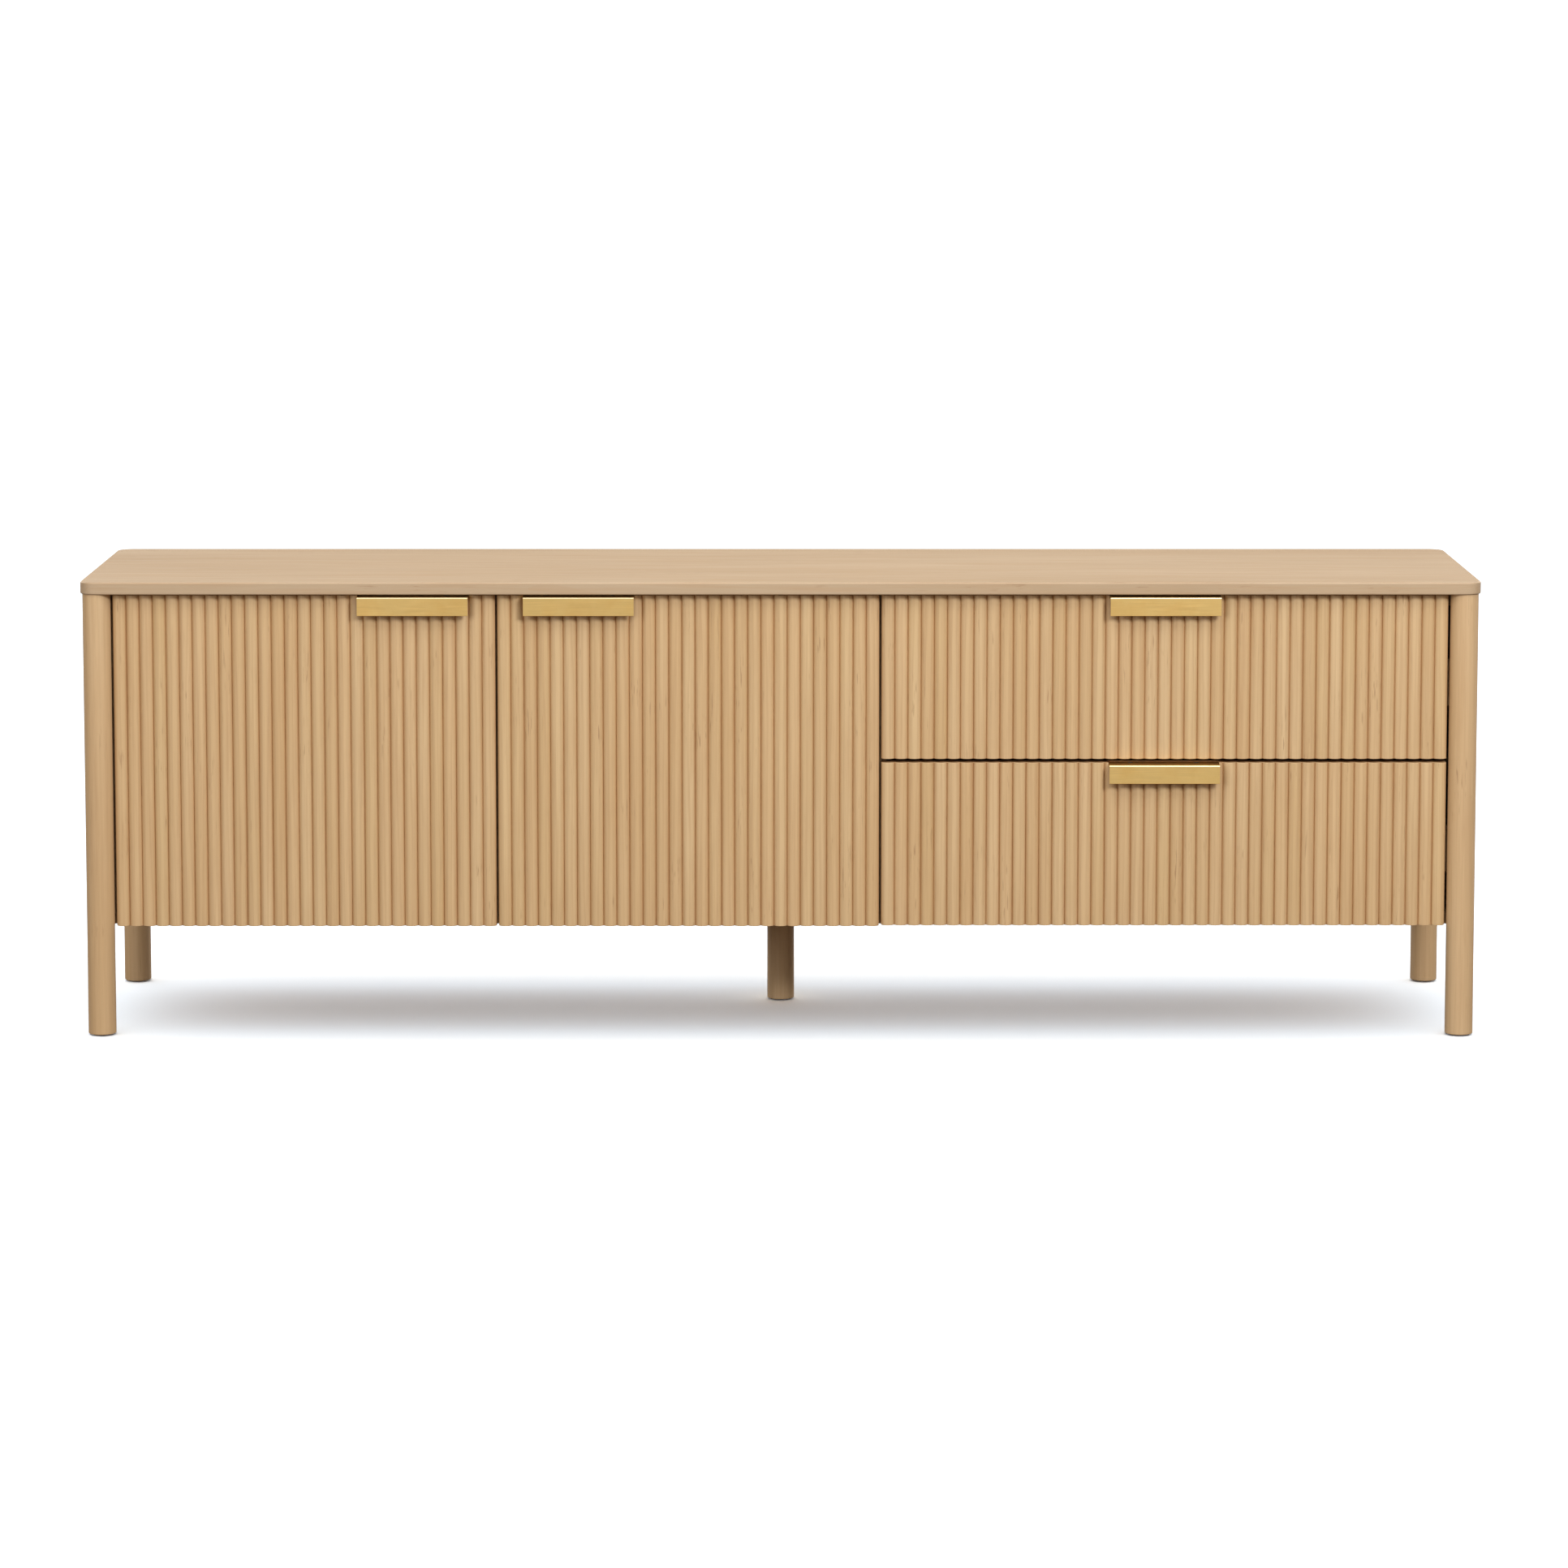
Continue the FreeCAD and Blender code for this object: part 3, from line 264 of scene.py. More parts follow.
# the grain's noises, each drawn out along the grain by "slow"
grainNoise = {
    "cloud": {"slow": 0.16, "scale": 11, "detail": 3},
    "streak": {"slow": 0.035, "scale": 170, "detail": 5, "rough": 0.62},
    "fibre": {"slow": 0.02, "scale": 900, "detail": 2},
    "pore": {"slow": 0.06, "scale": 520, "detail": 2, "rough": 0.5},
    "patch": {"slow": 0.5, "scale": 16, "detail": 2},
}

# the part of each pattern that shows
grainShown = {
    "cloud": (0.32, 0.68), "line": (0.55, 1.0), "streak": (0.45, 0.78), "pore": (0.62, 0.70),
    "patch": (0.52, 0.66), "fibre": (0.3, 0.7), "rough": (0.3, 0.75), "groove": (0.55, 1.0),
}

growthLines = {"slow": 0.11, "Distortion": 9, "Detail": 2, "Detail Scale": 0.35,
               "Detail Roughness": 0.55}
fibreShade = (0.965, 1.02)
streakHeight = 0.8
woodBumpDepth = 0.00025
stripShift = (0.37, 0.73, 1.91)     # how far a strip's number moves its pattern
stripTints = [(0.0, (0.965, 0.950, 0.935)), (0.3, (1.0, 0.98, 0.965)),
              (0.65, (0.99, 0.985, 0.985)), (1.0, (1.0, 1.0, 0.97))]

woods = {
    "topWood": {"along": "X", "pale": (0.495, 0.374, 0.248), "honey": (0.440, 0.318, 0.198),
                "lineShare": 0.14, "lineScale": 34},
    "legWood": {"lineShare": 0.12, "pale": (0.625, 0.446, 0.256), "honey": (0.555, 0.372, 0.194)},
    "slatWood": {"strips": True},
    "frontWood": {"pale": (0.56, 0.36, 0.19), "honey": (0.49, 0.30, 0.145)},
    "sideWood": {"lineScale": 22},
    "caseWoodX": {"along": "X", "lineScale": 24},
    "caseWoodY": {"along": "Y", "lineScale": 24},
    "caseWoodZ": {"lineScale": 24},
    "backWood": {"pale": (0.56, 0.39, 0.23), "honey": (0.49, 0.33, 0.18), "lineScale": 18},
    "drawerWoodX": {"along": "X", "pale": (0.72, 0.56, 0.38), "honey": (0.66, 0.49, 0.31),
                    "lineShare": 0.10},
    "drawerWoodY": {"along": "Y", "pale": (0.72, 0.56, 0.38), "honey": (0.66, 0.49, 0.31),
                    "lineShare": 0.10},
}


def grainStretch(along, slow):
    return tuple(slow if axis == along else 1 for axis in "XYZ")


def makeWood(name, changes):
    look = {**woodLook, **changes}
    material, tree, shader = newMaterial(name)
    link = tree.links.new
    where = addNode(tree, "ShaderNodeTexCoord").outputs["Object"]
    if look["strips"]:
        # every strip was sawn elsewhere in the log
        seed = addNode(tree, "ShaderNodeAttribute", attribute_name="strip")
        moved = addNode(tree, "ShaderNodeVectorMath", operation="MULTIPLY_ADD")
        link(seed.outputs["Fac"], moved.inputs[0])
        moved.inputs[1].default_value = stripShift
        link(where, moved.inputs[2])
        where = moved.outputs["Vector"]

    noise = {}
    for kind, grain in grainNoise.items():
        noise[kind] = addNoise(tree, where, grainStretch(look["along"], grain["slow"]),
                               grain["scale"], grain["detail"], grain.get("rough", 0.55))

    # growth lines: bands across the grain, bent by a slow wander
    band = addNode(tree, "ShaderNodeTexWave", wave_type="BANDS", wave_profile="SAW",
                   bands_direction="X" if look["along"] != "X" else "Y")
    squeeze = addNode(tree, "ShaderNodeMapping")
    squeeze.inputs["Scale"].default_value = grainStretch(look["along"], growthLines["slow"])
    link(where, squeeze.inputs["Vector"])
    link(squeeze.outputs["Vector"], band.inputs["Vector"])
    band.inputs["Scale"].default_value = look["lineScale"]
    for setting in ("Distortion", "Detail", "Detail Scale", "Detail Roughness"):
        band.inputs[setting].default_value = growthLines[setting]

    clouds = spread(tree, noise["cloud"], *grainShown["cloud"])
    colour = blendColour(tree, clouds, look["pale"], look["honey"])
    lines = spread(tree, band.outputs["Fac"], *grainShown["line"], 0, look["lineShare"])
    colour = blendColour(tree, lines, colour, look["line"])
    streaks = spread(tree, noise["streak"], *grainShown["streak"], 0, look["streakShare"])
    colour = blendColour(tree, streaks, colour, look["line"])
    pores = addNode(tree, "ShaderNodeMath", operation="MULTIPLY")
    link(spread(tree, noise["pore"], *grainShown["pore"], 0, look["fleckShare"]),
         pores.inputs[0])
    link(spread(tree, noise["patch"], *grainShown["patch"]), pores.inputs[1])
    colour = blendColour(tree, pores.outputs["Value"], colour, look["fleck"])
    shade = spread(tree, noise["fibre"], *grainShown["fibre"], *fibreShade)
    colour = blendColour(tree, 1.0, colour, shade, "MULTIPLY")
    if look["strips"]:
        tone = addNode(tree, "ShaderNodeAttribute", attribute_name="tone")
        tints = addNode(tree, "ShaderNodeValToRGB")
        ramp = tints.color_ramp
        for index, (at, tint) in enumerate(stripTints):
            inside = 0 < index < len(stripTints) - 1
            stop = ramp.elements.new(at) if inside else ramp.elements[-1 if index else 0]
            stop.color = (*tint, 1)
        link(tone.outputs["Fac"], tints.inputs["Fac"])
        colour = blendColour(tree, 1.0, colour, tints.outputs["Color"], "MULTIPLY")
        # painted shade: towards the grooves the colour turns darker and redder
        groove = addNode(tree, "ShaderNodeAttribute", attribute_name="groove")
        paintedShade = spread(tree, groove.outputs["Fac"], *grainShown["groove"], 0,
                          look["grooveShare"])
        colour = blendColour(tree, paintedShade, colour, look["groove"])
    link(colour, shader.inputs["Base Color"])

    link(spread(tree, noise["streak"], *grainShown["rough"], look["roughLow"],
                look["roughHigh"]), shader.inputs["Roughness"])
    height = addUp(tree, noise["fibre"], noise["streak"], streakHeight)
    addBump(tree, shader, height, look["bump"], woodBumpDepth)
    return material


# Metals and plastics

metals = {
    "brass": {"colour": (0.925, 0.638, 0.240), "wearAndGlint": (0.860, 0.566, 0.198), "rough": 0.32,
              # colour of the painted highlight along the pull's top edge
              "paintedHighlight": (1.0, 0.86, 0.52),
              "brushed": (0.012, 1, 1), "brush": 1500, "bump": 0.10},
    "hingeSteel": {"colour": (0.56, 0.55, 0.53), "wearAndGlint": (0.44, 0.43, 0.42), "rough": 0.30,
                   "brushed": (1, 0.05, 1), "brush": 700, "bump": 0.08},
    "slideSteel": {"colour": (0.50, 0.52, 0.54), "wearAndGlint": (0.40, 0.42, 0.44), "rough": 0.38,
                   "brushed": (1, 0.03, 1), "brush": 500, "bump": 0.10},
    "screwSteel": {"colour": (0.55, 0.54, 0.50), "wearAndGlint": (0.40, 0.39, 0.36), "rough": 0.35,
                   "brushed": (1, 1, 1), "brush": 900, "bump": 0.10},
}

metalNoise = {
    "brushDetail": 3, "brushRough": 0.6, "smudge": 38, "smudgeDetail": 3,
    "smudgeShown": (0.40, 0.72), "brushShown": (0.25, 0.75), "brushShade": (0.90, 1.06),
    "roughShown": (0.2, 0.8), "roughLess": 0.06, "roughMore": 0.08, "smudgeRough": 0.08,
    "bumpDepth": 0.0001,
}

plastics = {
    "glidePlastic": {"colour": (0.045, 0.024, 0.016), "marks": (0.085, 0.055, 0.040),
                     "rough": 0.5},
    "padRubber": {"colour": (0.62, 0.61, 0.57), "marks": (0.48, 0.47, 0.43), "rough": 0.35},
}


plasticNoise = {
    "speck": 1800, "scuff": 160, "scuffStretch": (1, 0.2, 1), "detail": 3,
    "scuffShown": (0.5, 0.75), "roughShown": (0.3, 0.7), "roughLess": 0.08,
    "roughMore": 0.12, "bump": 0.2, "bumpDepth": 0.0001,
}


def makeMetal(name, look):
    material, tree, shader = newMaterial(name)
    where = addNode(tree, "ShaderNodeTexCoord").outputs["Object"]
    brush = addNoise(tree, where, look["brushed"], look["brush"], metalNoise["brushDetail"],
                     metalNoise["brushRough"])
    smudge = addNoise(tree, where, (1, 1, 1), metalNoise["smudge"], metalNoise["smudgeDetail"])
    smudges = spread(tree, smudge, *metalNoise["smudgeShown"])
    colour = blendColour(tree, smudges, look["colour"], look["wearAndGlint"])
    shade = spread(tree, brush, *metalNoise["brushShown"], *metalNoise["brushShade"])
    colour = blendColour(tree, 1.0, colour, shade, "MULTIPLY")
    # painted highlight: a brighter colour where the edge mask is set
    if "paintedHighlight" in look:
        paintedGlint = addNode(tree, "ShaderNodeAttribute", attribute_name="paintedGlint").outputs["Fac"]
        colour = blendColour(tree, paintedGlint, colour, look["paintedHighlight"])
    tree.links.new(colour, shader.inputs["Base Color"])
    shader.inputs["Metallic"].default_value = 1
    rough = spread(tree, brush, *metalNoise["roughShown"],
                   look["rough"] - metalNoise["roughLess"],
                   look["rough"] + metalNoise["roughMore"])
    rough = addUp(tree, rough, smudge, metalNoise["smudgeRough"])
    tree.links.new(rough, shader.inputs["Roughness"])
    addBump(tree, shader, brush, look["bump"], metalNoise["bumpDepth"])
    return material


def makePlastic(name, look):
    material, tree, shader = newMaterial(name)
    where = addNode(tree, "ShaderNodeTexCoord").outputs["Object"]
    speck = addNoise(tree, where, (1, 1, 1), plasticNoise["speck"], plasticNoise["detail"])
    scuff = addNoise(tree, where, plasticNoise["scuffStretch"], plasticNoise["scuff"],
                     plasticNoise["detail"])
    scuffs = spread(tree, scuff, *plasticNoise["scuffShown"])
    colour = blendColour(tree, scuffs, look["colour"], look["marks"])
    tree.links.new(colour, shader.inputs["Base Color"])
    rough = spread(tree, scuff, *plasticNoise["roughShown"],
                   look["rough"] - plasticNoise["roughLess"],
                   look["rough"] + plasticNoise["roughMore"])
    tree.links.new(rough, shader.inputs["Roughness"])
    addBump(tree, shader, speck, plasticNoise["bump"], plasticNoise["bumpDepth"])
    return material


material = {name: makeWood(name, changes) for name, changes in woods.items()}
material.update({name: makeMetal(name, look) for name, look in metals.items()})
material.update({name: makePlastic(name, look) for name, look in plastics.items()})
print("materials made,", len(material))


# What each carried-over part is finished in, by the words in its name

finishes = [
    ("drawer_slide", "slideSteel"), ("slide_outers", "slideSteel"),
    ("screws", "screwSteel"), ("bolt", "screwSteel"),
    ("hinge_pins", "hingeSteel"), ("hinge_cups", "hingeSteel"), ("hinge_arms", "hingeSteel"),
    ("hinge_plates", "hingeSteel"), ("pegs", "hingeSteel"),
    ("glides", "glidePlastic"), ("pads", "padRubber"), ("pull", "brass"),
    ("slats", "slatWood"), ("drawer_board", "frontWood"), ("door_board", "frontWood"),
    ("drawer_sides", "drawerWoodY"), ("drawer_ends", "drawerWoodX"),
    ("drawer_bottom", "drawerWoodX"), ("side_panel", "sideWood"), ("back_panel", "backWood"),
    ("partition", "caseWoodZ"), ("hinge_batten", "caseWoodZ"), ("runner_battens", "caseWoodY"),
    ("case_floor", "caseWoodX"), ("rail", "caseWoodX"), ("shelf_", "caseWoodX"),
    ("top_slab", "topWood"), ("post", "legWood"), ("leg", "legWood"),
]

for nodeName, node in nodes.items():
    finish = next(finish for word, finish in finishes if word in nodeName)
    if not node.data.materials:
        node.data.materials.append(None)
    for index in range(len(node.material_slots)):
        node.material_slots[index].material = material[finish]
print("finishes on the carried-over parts")


# The top: corners follow the posts, all edges softly rounded

top = {"corner": 0.0205, "cornerSteps": 12, "edge": 0.002, "edgeSteps": 4}


def makeTop():
    low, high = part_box("top_slab")
    slab = addBlock("topSlab", low, high)
    roundEdges(slab, lambda a, b: abs(a.z - b.z) > touch, top["corner"], top["cornerSteps"])
    roundEdges(slab, lambda a, b: abs(a.z - b.z) < touch, top["edge"], top["edgeSteps"])
    smooth(slab)
    finishPiece(slab, "carcass", material["topWood"], "top_wood", "top_slab")


makeTop()
print("top made")


# Round posts and the centre leg, each with a softened foot, and a nail-on glide under each

legs = {"radius": 0.018, "sides": 72, "foot": 0.0012, "footSteps": 3}
glide = {"radius": 0.006, "height": 0.002, "sides": 32, "edge": 0.0004, "edgeSteps": 2,
         "nail": 0.0015, "nailLong": 0.014}
legNodes = {
    "postFrontLeft": "post_front_left", "postFrontRight": "post_front_right",
    "postRearLeft": "post_rear_left", "postRearRight": "post_rear_right",
    "centreLeg": "centre_leg",
}


def makeLeg(name, node):
    low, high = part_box(node)
    middle = (low + high) / 2
    leg = addRod(name, (middle.x, middle.y, low.z), high.z - low.z, legs["radius"],
                 legs["sides"])
    roundEdges(leg, lambda a, b: max(a.z, b.z) < low.z + touch, legs["foot"],
               legs["footSteps"])
    smooth(leg)
    finishPiece(leg, "carcass", material["legWood"], "leg_wood", node)
    return middle


def makeGlides(places):
    first = addRod("footGlide", (0, 0, 0), glide["height"], glide["radius"], glide["sides"])
    roundEdges(first, lambda a, b: max(a.z, b.z) < touch, glide["edge"], glide["edgeSteps"])
    pickFaces(first, lambda middle, normal: normal.z > 0.9)
    bpy.ops.mesh.inset(thickness=glide["radius"] - glide["nail"])
    bpy.ops.mesh.extrude_region_move(
        TRANSFORM_OT_translate={"value": (0, 0, glide["nailLong"])})
    bpy.ops.object.mode_set(mode="OBJECT")
    smooth(first)
    copies = [copyMoved(first, f"footGlide{index}", (place.x, place.y, 0))
              for index, place in enumerate(places)]
    discard(first)
    finishPiece(joinAll(copies, "footGlides"), "carcass", material["glidePlastic"], "glide",
                "foot_glides")


makeGlides([makeLeg(name, node) for name, node in legNodes.items()])
print("legs and glides made")


# Fluted fronts: one strip modelled, copied across, notched under the pull

slats = {"deep": 0.006, "gap": 0.0001, "sides": 40, "endEdge": 0.0004, "seed": 29,
         "patternShift": 9, "notchPast": 0.01}
fronts = {
    "leftDoor": {"node": "left_door", "count": 29},
    "middleDoor": {"node": "middle_door", "count": 29},
    "upperDrawer": {"node": "upper_drawer", "count": 43},
    "lowerDrawer": {"node": "lower_drawer", "count": 43},
}
pull = {"metal": 0.0025, "brow": 0.0015, "browSteps": 4, "lip": 0.0006, "lipSteps": 3,
        "paintedHighlight": 0.0021, "room": 0.0005, "screwIn": 0.2, "screwHead": 0.0036,
        "screwHole": 0.0018, "sinkSides": 32, "sinkPast": 0.001}


def makeStrip(low, high, wide):
    # half-round strip: a round bar cut off flat where it meets the board
    radius = (wide ** 2 / 4 + slats["deep"] ** 2) / (2 * slats["deep"])
    strip = addRod("strip", (low.x + wide / 2, low.y + radius, low.z), high.z - low.z, radius,
                   slats["sides"])
    bpy.ops.object.mode_set(mode="EDIT")
    bpy.ops.mesh.select_all(action="SELECT")
    bpy.ops.mesh.bisect(plane_co=(0, high.y, 0), plane_no=(0, 1, 0), use_fill=True,
                        clear_outer=True)
    bpy.ops.object.mode_set(mode="OBJECT")
    roundEdges(strip, lambda a, b: abs(a.z - b.z) < touch and min(a.y, b.y) < high.y - touch
               and (max(a.z, b.z) < low.z + touch or min(a.z, b.z) > high.z - touch),
               slats["endEdge"], 1)
    return strip


def makeSlats(name, front, chance):
    low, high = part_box(front["node"] + "_slats")
    pullLow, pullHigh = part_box(front["node"] + "_pull")
    pitch = (high.x - low.x + slats["gap"]) / front["count"]
    strip = makeStrip(low, high, pitch - slats["gap"])
    past = slats["notchPast"]
    notchLow = (pullLow.x - pull["room"], low.y - past, pullHigh.z - pull["metal"])
    notchHigh = (pullHigh.x + pull["room"], high.y + past, high.z + past)
    notch = addBlock("notch", notchLow, notchHigh)
    copies = []
    for index in range(front["count"]):
        copy = copyMoved(strip, f"{name}Strip{index}", (index * pitch, 0, 0))
        left = low.x + index * pitch
        if left < notchHigh[0] and left + pitch > notchLow[0]:
            carve(copy, notch)
        points = copy.data.vertices
        # each point's depth towards the board, which sets how much painted groove shade it gets
        depths = [(point.co.y - low.y) / slats["deep"] for point in points]
        shift = chance.uniform(0, slats["patternShift"])
        tone = chance.random()
        for attribute, values in (("strip", [shift] * len(points)),
                                  ("tone", [tone] * len(points)), ("groove", depths)):
            layer = copy.data.attributes.new(attribute, "FLOAT", "POINT")
            layer.data.foreach_set("value", values)
        copies.append(copy)
    discard(strip)
    discard(notch)
    row = joinAll(copies, f"{name}Slats")
    smooth(row)
    finishPiece(row, front["node"], material["slatWood"], "slat_wood",
                front["node"] + "_slats")


def makePull(name, front):
    # plate first, then the flange drawn back out of its upper edge
    low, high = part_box(front["node"] + "_pull")
    metal = pull["metal"]
    plate = addBlock(f"{name}Pull", low, (high.x, low.y + metal, high.z))
    bpy.ops.object.mode_set(mode="EDIT")
    bpy.ops.mesh.select_all(action="SELECT")
    bpy.ops.mesh.bisect(plane_co=(0, 0, high.z - metal), plane_no=(0, 0, 1))
    # this cut bounds the band of painted highlight at the top edge
    bpy.ops.mesh.select_all(action="SELECT")
    bpy.ops.mesh.bisect(plane_co=(0, 0, high.z - pull["paintedHighlight"]), plane_no=(0, 0, 1))
    pickFaces(plate, lambda middle, normal: normal.y > 0.9 and middle.z > high.z - metal)
    bpy.ops.mesh.extrude_region_move(
        TRANSFORM_OT_translate={"value": (0, high.y - low.y - metal, 0)})
    bpy.ops.object.mode_set(mode="OBJECT")
    roundEdges(plate, lambda a, b: min(a.z, b.z) > high.z - touch
               and max(a.y, b.y) < low.y + touch, pull["brow"], pull["browSteps"])
    roundEdges(plate, lambda a, b: max(a.z, b.z) < low.z + touch
               and abs(a.x - b.x) > metal * 2, pull["lip"], pull["lipSteps"])
    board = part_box(front["node"] + "_board")[0].y
    for share in (pull["screwIn"], 1 - pull["screwIn"]):
        x = low.x + (high.x - low.x) * share
        y = (board + high.y) / 2
        clearSelection()
        bpy.ops.mesh.primitive_cone_add(
            vertices=pull["sinkSides"], radius1=pull["screwHole"], radius2=pull["screwHead"],
            depth=metal + pull["sinkPast"], location=(x, y, high.z - metal / 2))
        sink = settle(bpy.context.object, "sink")
        carve(plate, sink)
        discard(sink)
    smooth(plate)
    # painted highlight: the outer top edge is painted brighter than the rest
    reach = pull["brow"] + touch
    wearAndGlint = plate.data.attributes.new("paintedGlint", "FLOAT", "POINT")
    wearAndGlint.data.foreach_set("value", [
        float(point.co.z > high.z - reach and point.co.y < low.y + reach)
        for point in plate.data.vertices])
    finishPiece(plate, front["node"], material["brass"], "brass", front["node"] + "_pull")


chance = random.Random(slats["seed"])
for name, front in fronts.items():
    makeSlats(name, front, chance)
    makePull(name, front)
    print(name, "front made")


# Countersunk screws with a cross in the head: one modelled, turned and copied to each place

screws = {"shank": 0.00175, "head": 0.0035, "sink": 0.002, "sides": 24, "crossLong": 0.0040,
          "crossWide": 0.0008, "crossDeep": 0.0011, "point": 0.0025, "tip": 0.35}
mergeWithin = 0.000001
endWithin = 0.00001


def makeScrew(length):
    # head's face at the origin, point towards +Z
    sink, point = screws["sink"], screws["point"]
    screw = addRod("screw", (0, 0, sink), length - sink - point, screws["shank"],
                   screws["sides"])
    for start, way, size in ((sink, -sink, screws["head"] / screws["shank"]),
                             (length - point, point, screws["tip"])):
        pickFaces(screw, lambda middle, normal: abs(middle.z - start) < touch
                  and abs(normal.z) > 0.9)
        bpy.ops.mesh.extrude_region_move(TRANSFORM_OT_translate={"value": (0, 0, way)})
        bpy.ops.transform.resize(value=(size, size, 1), center_override=(0, 0, start + way))
        bpy.ops.object.mode_set(mode="OBJECT")
    long, wide, deep = screws["crossLong"] / 2, screws["crossWide"] / 2, screws["crossDeep"]
    for x, y in ((long, wide), (wide, long)):
        arm = addBlock("crossArm", (-x, -y, -deep), (x, y, deep))
        carve(screw, arm)
        discard(arm)
    return screw


def islands(mesh):
    # the corners of each separate solid in a part
    work = bmesh.new()
    work.from_mesh(mesh)
    bmesh.ops.remove_doubles(work, verts=work.verts, dist=mergeWithin)
    work.verts.index_update()
    left = set(work.verts)
    while left:
        start = min(left, key=lambda point: point.index)
        found, waiting = {start}, [start]
        while waiting:
            for edge in waiting.pop().link_edges:
                for point in edge.verts:
                    if point not in found:
                        found.add(point)
                        waiting.append(point)
        left -= found
        yield [point.co.copy() for point in found]
    work.free()


def screwPlace(points):
    # head's middle, the way the screw points and its length, from a plain screw's corners
    low = Vector([min(point[axis] for point in points) for axis in range(3)])
    high = Vector([max(point[axis] for point in points) for axis in range(3)])
    middle, size = (low + high) / 2, high - low
    axis = max(range(3), key=lambda number: size[number])

    def reach(end):
        near = [point for point in points if abs(point[axis] - end) < endWithin]
        return max((point - middle).length for point in near)

    headEnd, tip = (low, high) if reach(low[axis]) > reach(high[axis]) else (high, low)
    head = middle.copy()
    head[axis] = headEnd[axis]
    way = Vector((0, 0, 0))
    way[axis] = 1 if tip[axis] > headEnd[axis] else -1
    return head, way, size[axis]


def makeScrews(name, node, body):
    patterns, copies = {}, []
    for points in islands(nodes[node].data):
        head, way, length = screwPlace(points)
        length = round(length, 5)     # equal screws share one pattern
        if length not in patterns:
            patterns[length] = makeScrew(length)
        copy = copyMoved(patterns[length], f"{name}{len(copies)}", (0, 0, 0))
        turn = Vector((0, 0, 1)).rotation_difference(way).to_matrix().to_4x4()
        copy.data.transform(Matrix.Translation(head) @ turn)
        copies.append(copy)
    for pattern in patterns.values():
        discard(pattern)
    together = joinAll(copies, name)
    smooth(together)
    finishPiece(together, body, material["screwSteel"], "screw_steel", node)


makeScrews("caseScrews", "case_screws", "carcass")
for name, front in fronts.items():
    makeScrews(f"{name}Screws", front["node"] + "_screws", front["node"])
print("screws made")


# Studio: a white floor and dome, soft lights above and to both sides

studio = {
    "dome": 0.46,
    "domeColour": (1.0, 0.90, 0.79),
    "domeShown": 1.2,                      # the dome as the camera sees it, plain white
    "floor": 60,
    "floorShown": (3.05, 3.68, 4.50),      # the dome's colour turned round, so it looks white
    "floorBounce": (0.30, 0.20, 0.12),     # what it sends up to the cabinet
    "floorGloss": 0.3,                     # share of the white that shiny parts mirror
    "lights": {
        "keyRight": {"at": (2.0, -3.7, 2.5), "size": (1.1, 1.1), "power": 122},
        "fillLeft": {"at": (-2.8, -3.4, 1.6), "size": (2.0, 2.0), "power": 52},
        "topFront": {"at": (0.0, -1.4, 2.4), "size": (3.4, 1.0), "power": 22},
        "above": {"at": (0.0, 0.1, 2.4), "size": (3.4, 1.0), "power": 16},
        "backLeft": {"at": (-3.0, 3.4, 1.7), "size": (2.0, 2.0), "power": 75},
        "backRight": {"at": (3.0, 3.4, 1.7), "size": (2.0, 2.0), "power": 75},
    },
    "aim": (0, 0, 0.35),
}


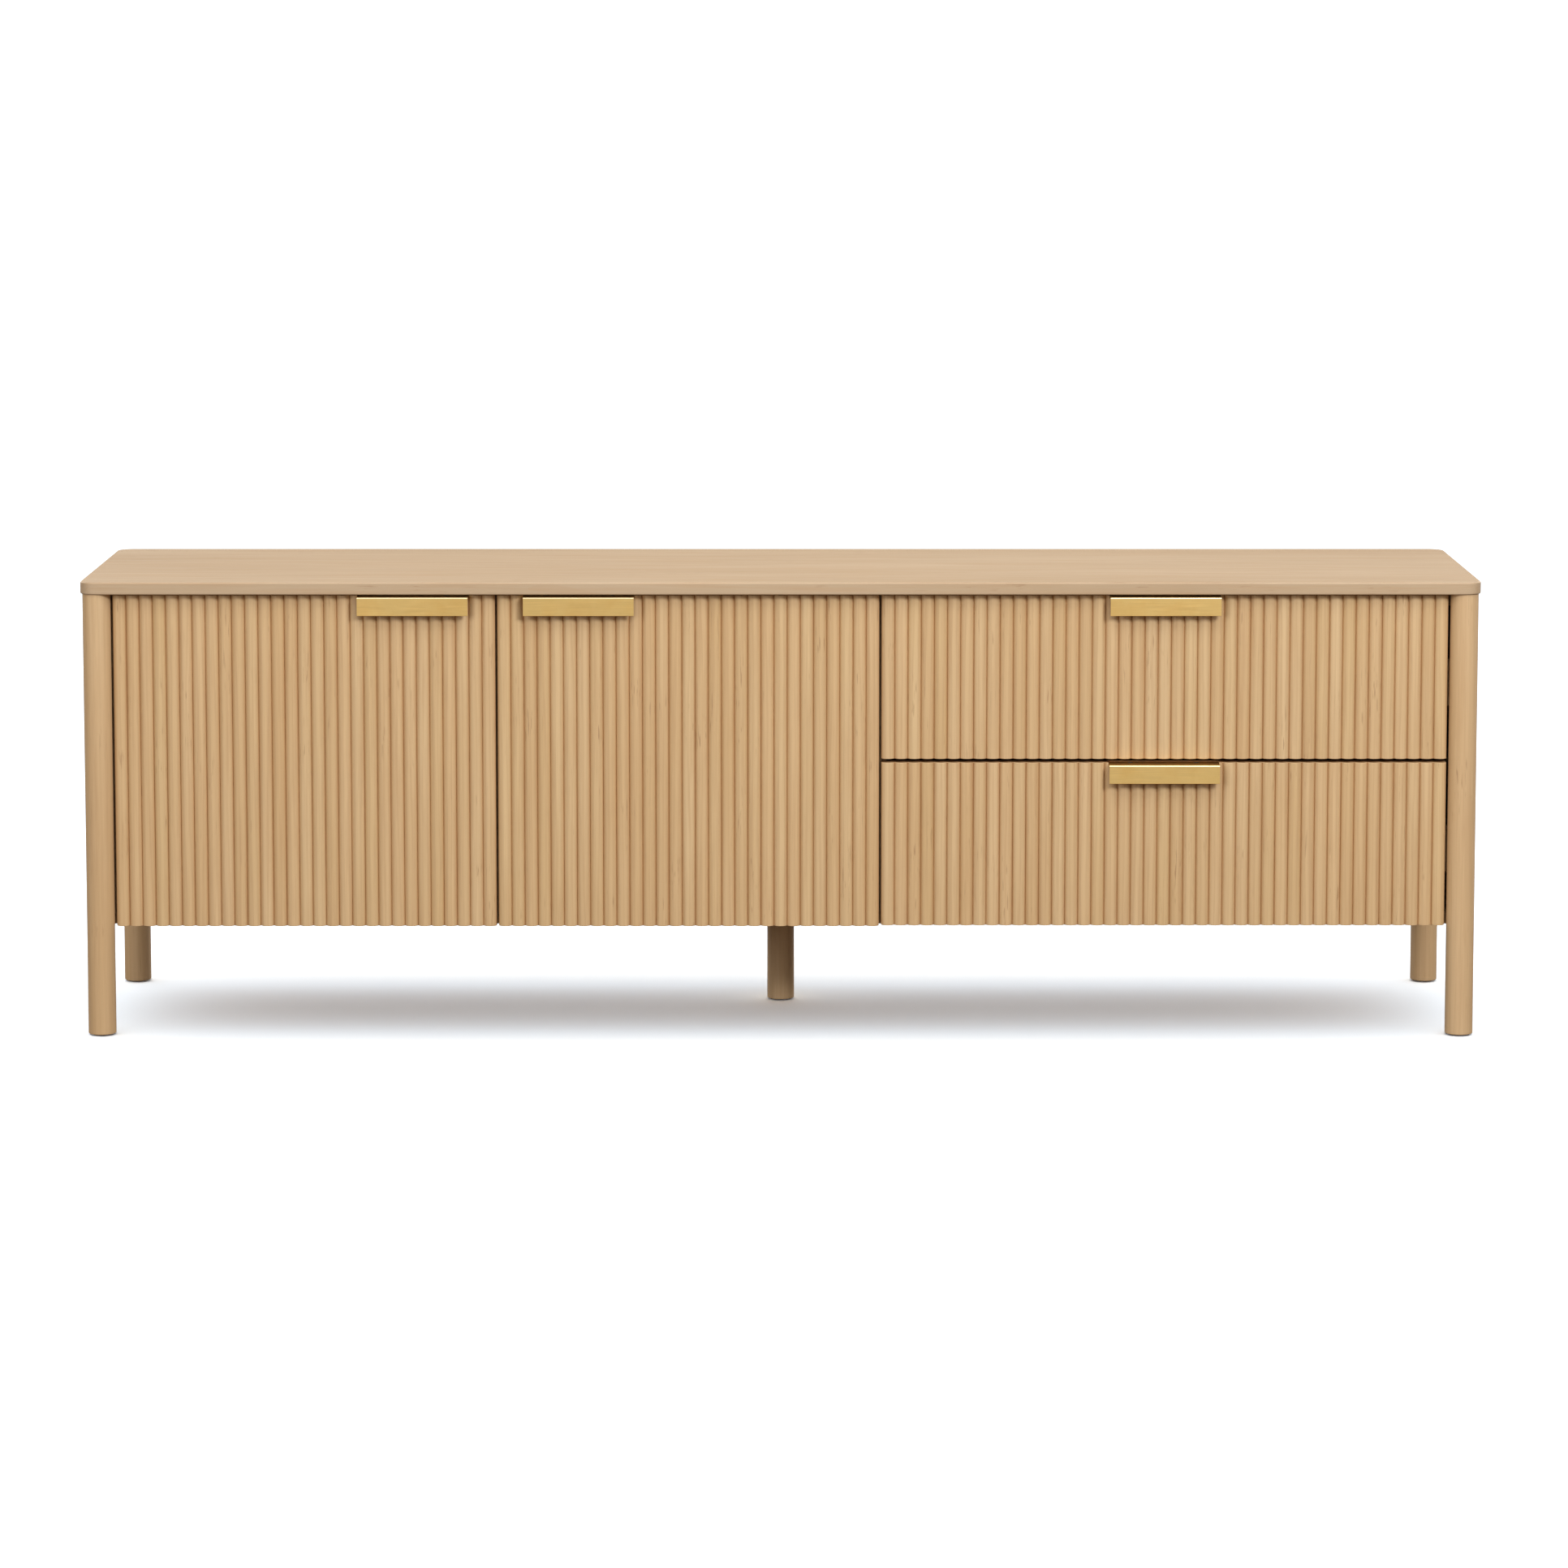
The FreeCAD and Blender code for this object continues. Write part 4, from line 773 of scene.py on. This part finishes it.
def makeStudio():
    world = bpy.data.worlds.new("studioWorld")
    bpy.context.scene.world = world
    world.use_nodes = True
    tree = world.node_tree
    background = tree.nodes["Background"]
    background.inputs["Color"].default_value = (*studio["domeColour"], 1)
    background.inputs["Strength"].default_value = studio["dome"]
    shown = addNode(tree, "ShaderNodeBackground")
    shown.inputs["Color"].default_value = (1, 1, 1, 1)
    shown.inputs["Strength"].default_value = studio["domeShown"]
    seen = addNode(tree, "ShaderNodeLightPath")
    either = addNode(tree, "ShaderNodeMixShader")
    tree.links.new(seen.outputs["Is Camera Ray"], either.inputs[0])
    tree.links.new(background.outputs[0], either.inputs[1])
    tree.links.new(shown.outputs[0], either.inputs[2])
    tree.links.new(either.outputs[0], tree.nodes["World Output"].inputs["Surface"])

    clearSelection()
    bpy.ops.mesh.primitive_plane_add(size=studio["floor"], location=(0, 0, 0))
    floor = bpy.context.object
    floor.name = "studioFloor"
    paper, tree, shader = newMaterial("studioPaper")
    tree.nodes.remove(shader)
    seen = addNode(tree, "ShaderNodeLightPath")
    either = addNode(tree, "ShaderNodeMixShader")
    # metal sees some of the white floor too
    shown = addUp(tree, seen.outputs["Is Camera Ray"], seen.outputs["Is Glossy Ray"],
                  studio["floorGloss"])
    tree.links.new(shown, either.inputs[0])
    for socket, white in ((1, studio["floorBounce"]), (2, studio["floorShown"])):
        sheet = addNode(tree, "ShaderNodeBsdfDiffuse")
        sheet.inputs["Color"].default_value = (*white, 1)
        tree.links.new(sheet.outputs[0], either.inputs[socket])
    tree.links.new(either.outputs[0], tree.nodes["Material Output"].inputs["Surface"])
    floor.data.materials.append(paper)

    # the lamps shine on the cabinet only, so the floor keeps the soft shadow of the dome
    unlit = bpy.data.collections.new("floorWithoutLamps")
    unlit.objects.link(floor)
    unlit.collection_objects[0].light_linking.link_state = "EXCLUDE"

    for name, look in studio["lights"].items():
        light = bpy.data.lights.new(name, "AREA")
        light.shape = "RECTANGLE"
        light.size, light.size_y = look["size"]
        light.energy = look["power"]
        lamp = bpy.data.objects.new(name, light)
        lamp.location = look["at"]
        lamp.rotation_euler = (Vector(studio["aim"]) - Vector(look["at"])).to_track_quat(
            "-Z", "Y").to_euler()
        lamp.visible_camera = False
        lamp.light_linking.receiver_collection = unlit
        bpy.context.collection.objects.link(lamp)
    bpy.context.scene.view_settings.view_transform = "Standard"


makeStudio()
print("studio made")


# Camera, a little above the top and far enough to flatten the view

camera = {"at": (0.0045, -6.5540, 1.3315), "down": 6.07, "lens": 114.65, "sensor": 36,
          "lift": -0.16, "farthest": 200}


def makeCamera():
    data = bpy.data.cameras.new("camera")
    data.lens = camera["lens"]
    data.sensor_width = camera["sensor"]
    data.shift_y = camera["lift"]
    data.clip_end = camera["farthest"]
    stand = bpy.data.objects.new("camera", data)
    stand.location = camera["at"]
    stand.rotation_euler = (math.radians(90 - camera["down"]), 0, 0)
    bpy.context.collection.objects.link(stand)
    bpy.context.scene.camera = stand


makeCamera()
print("camera made")
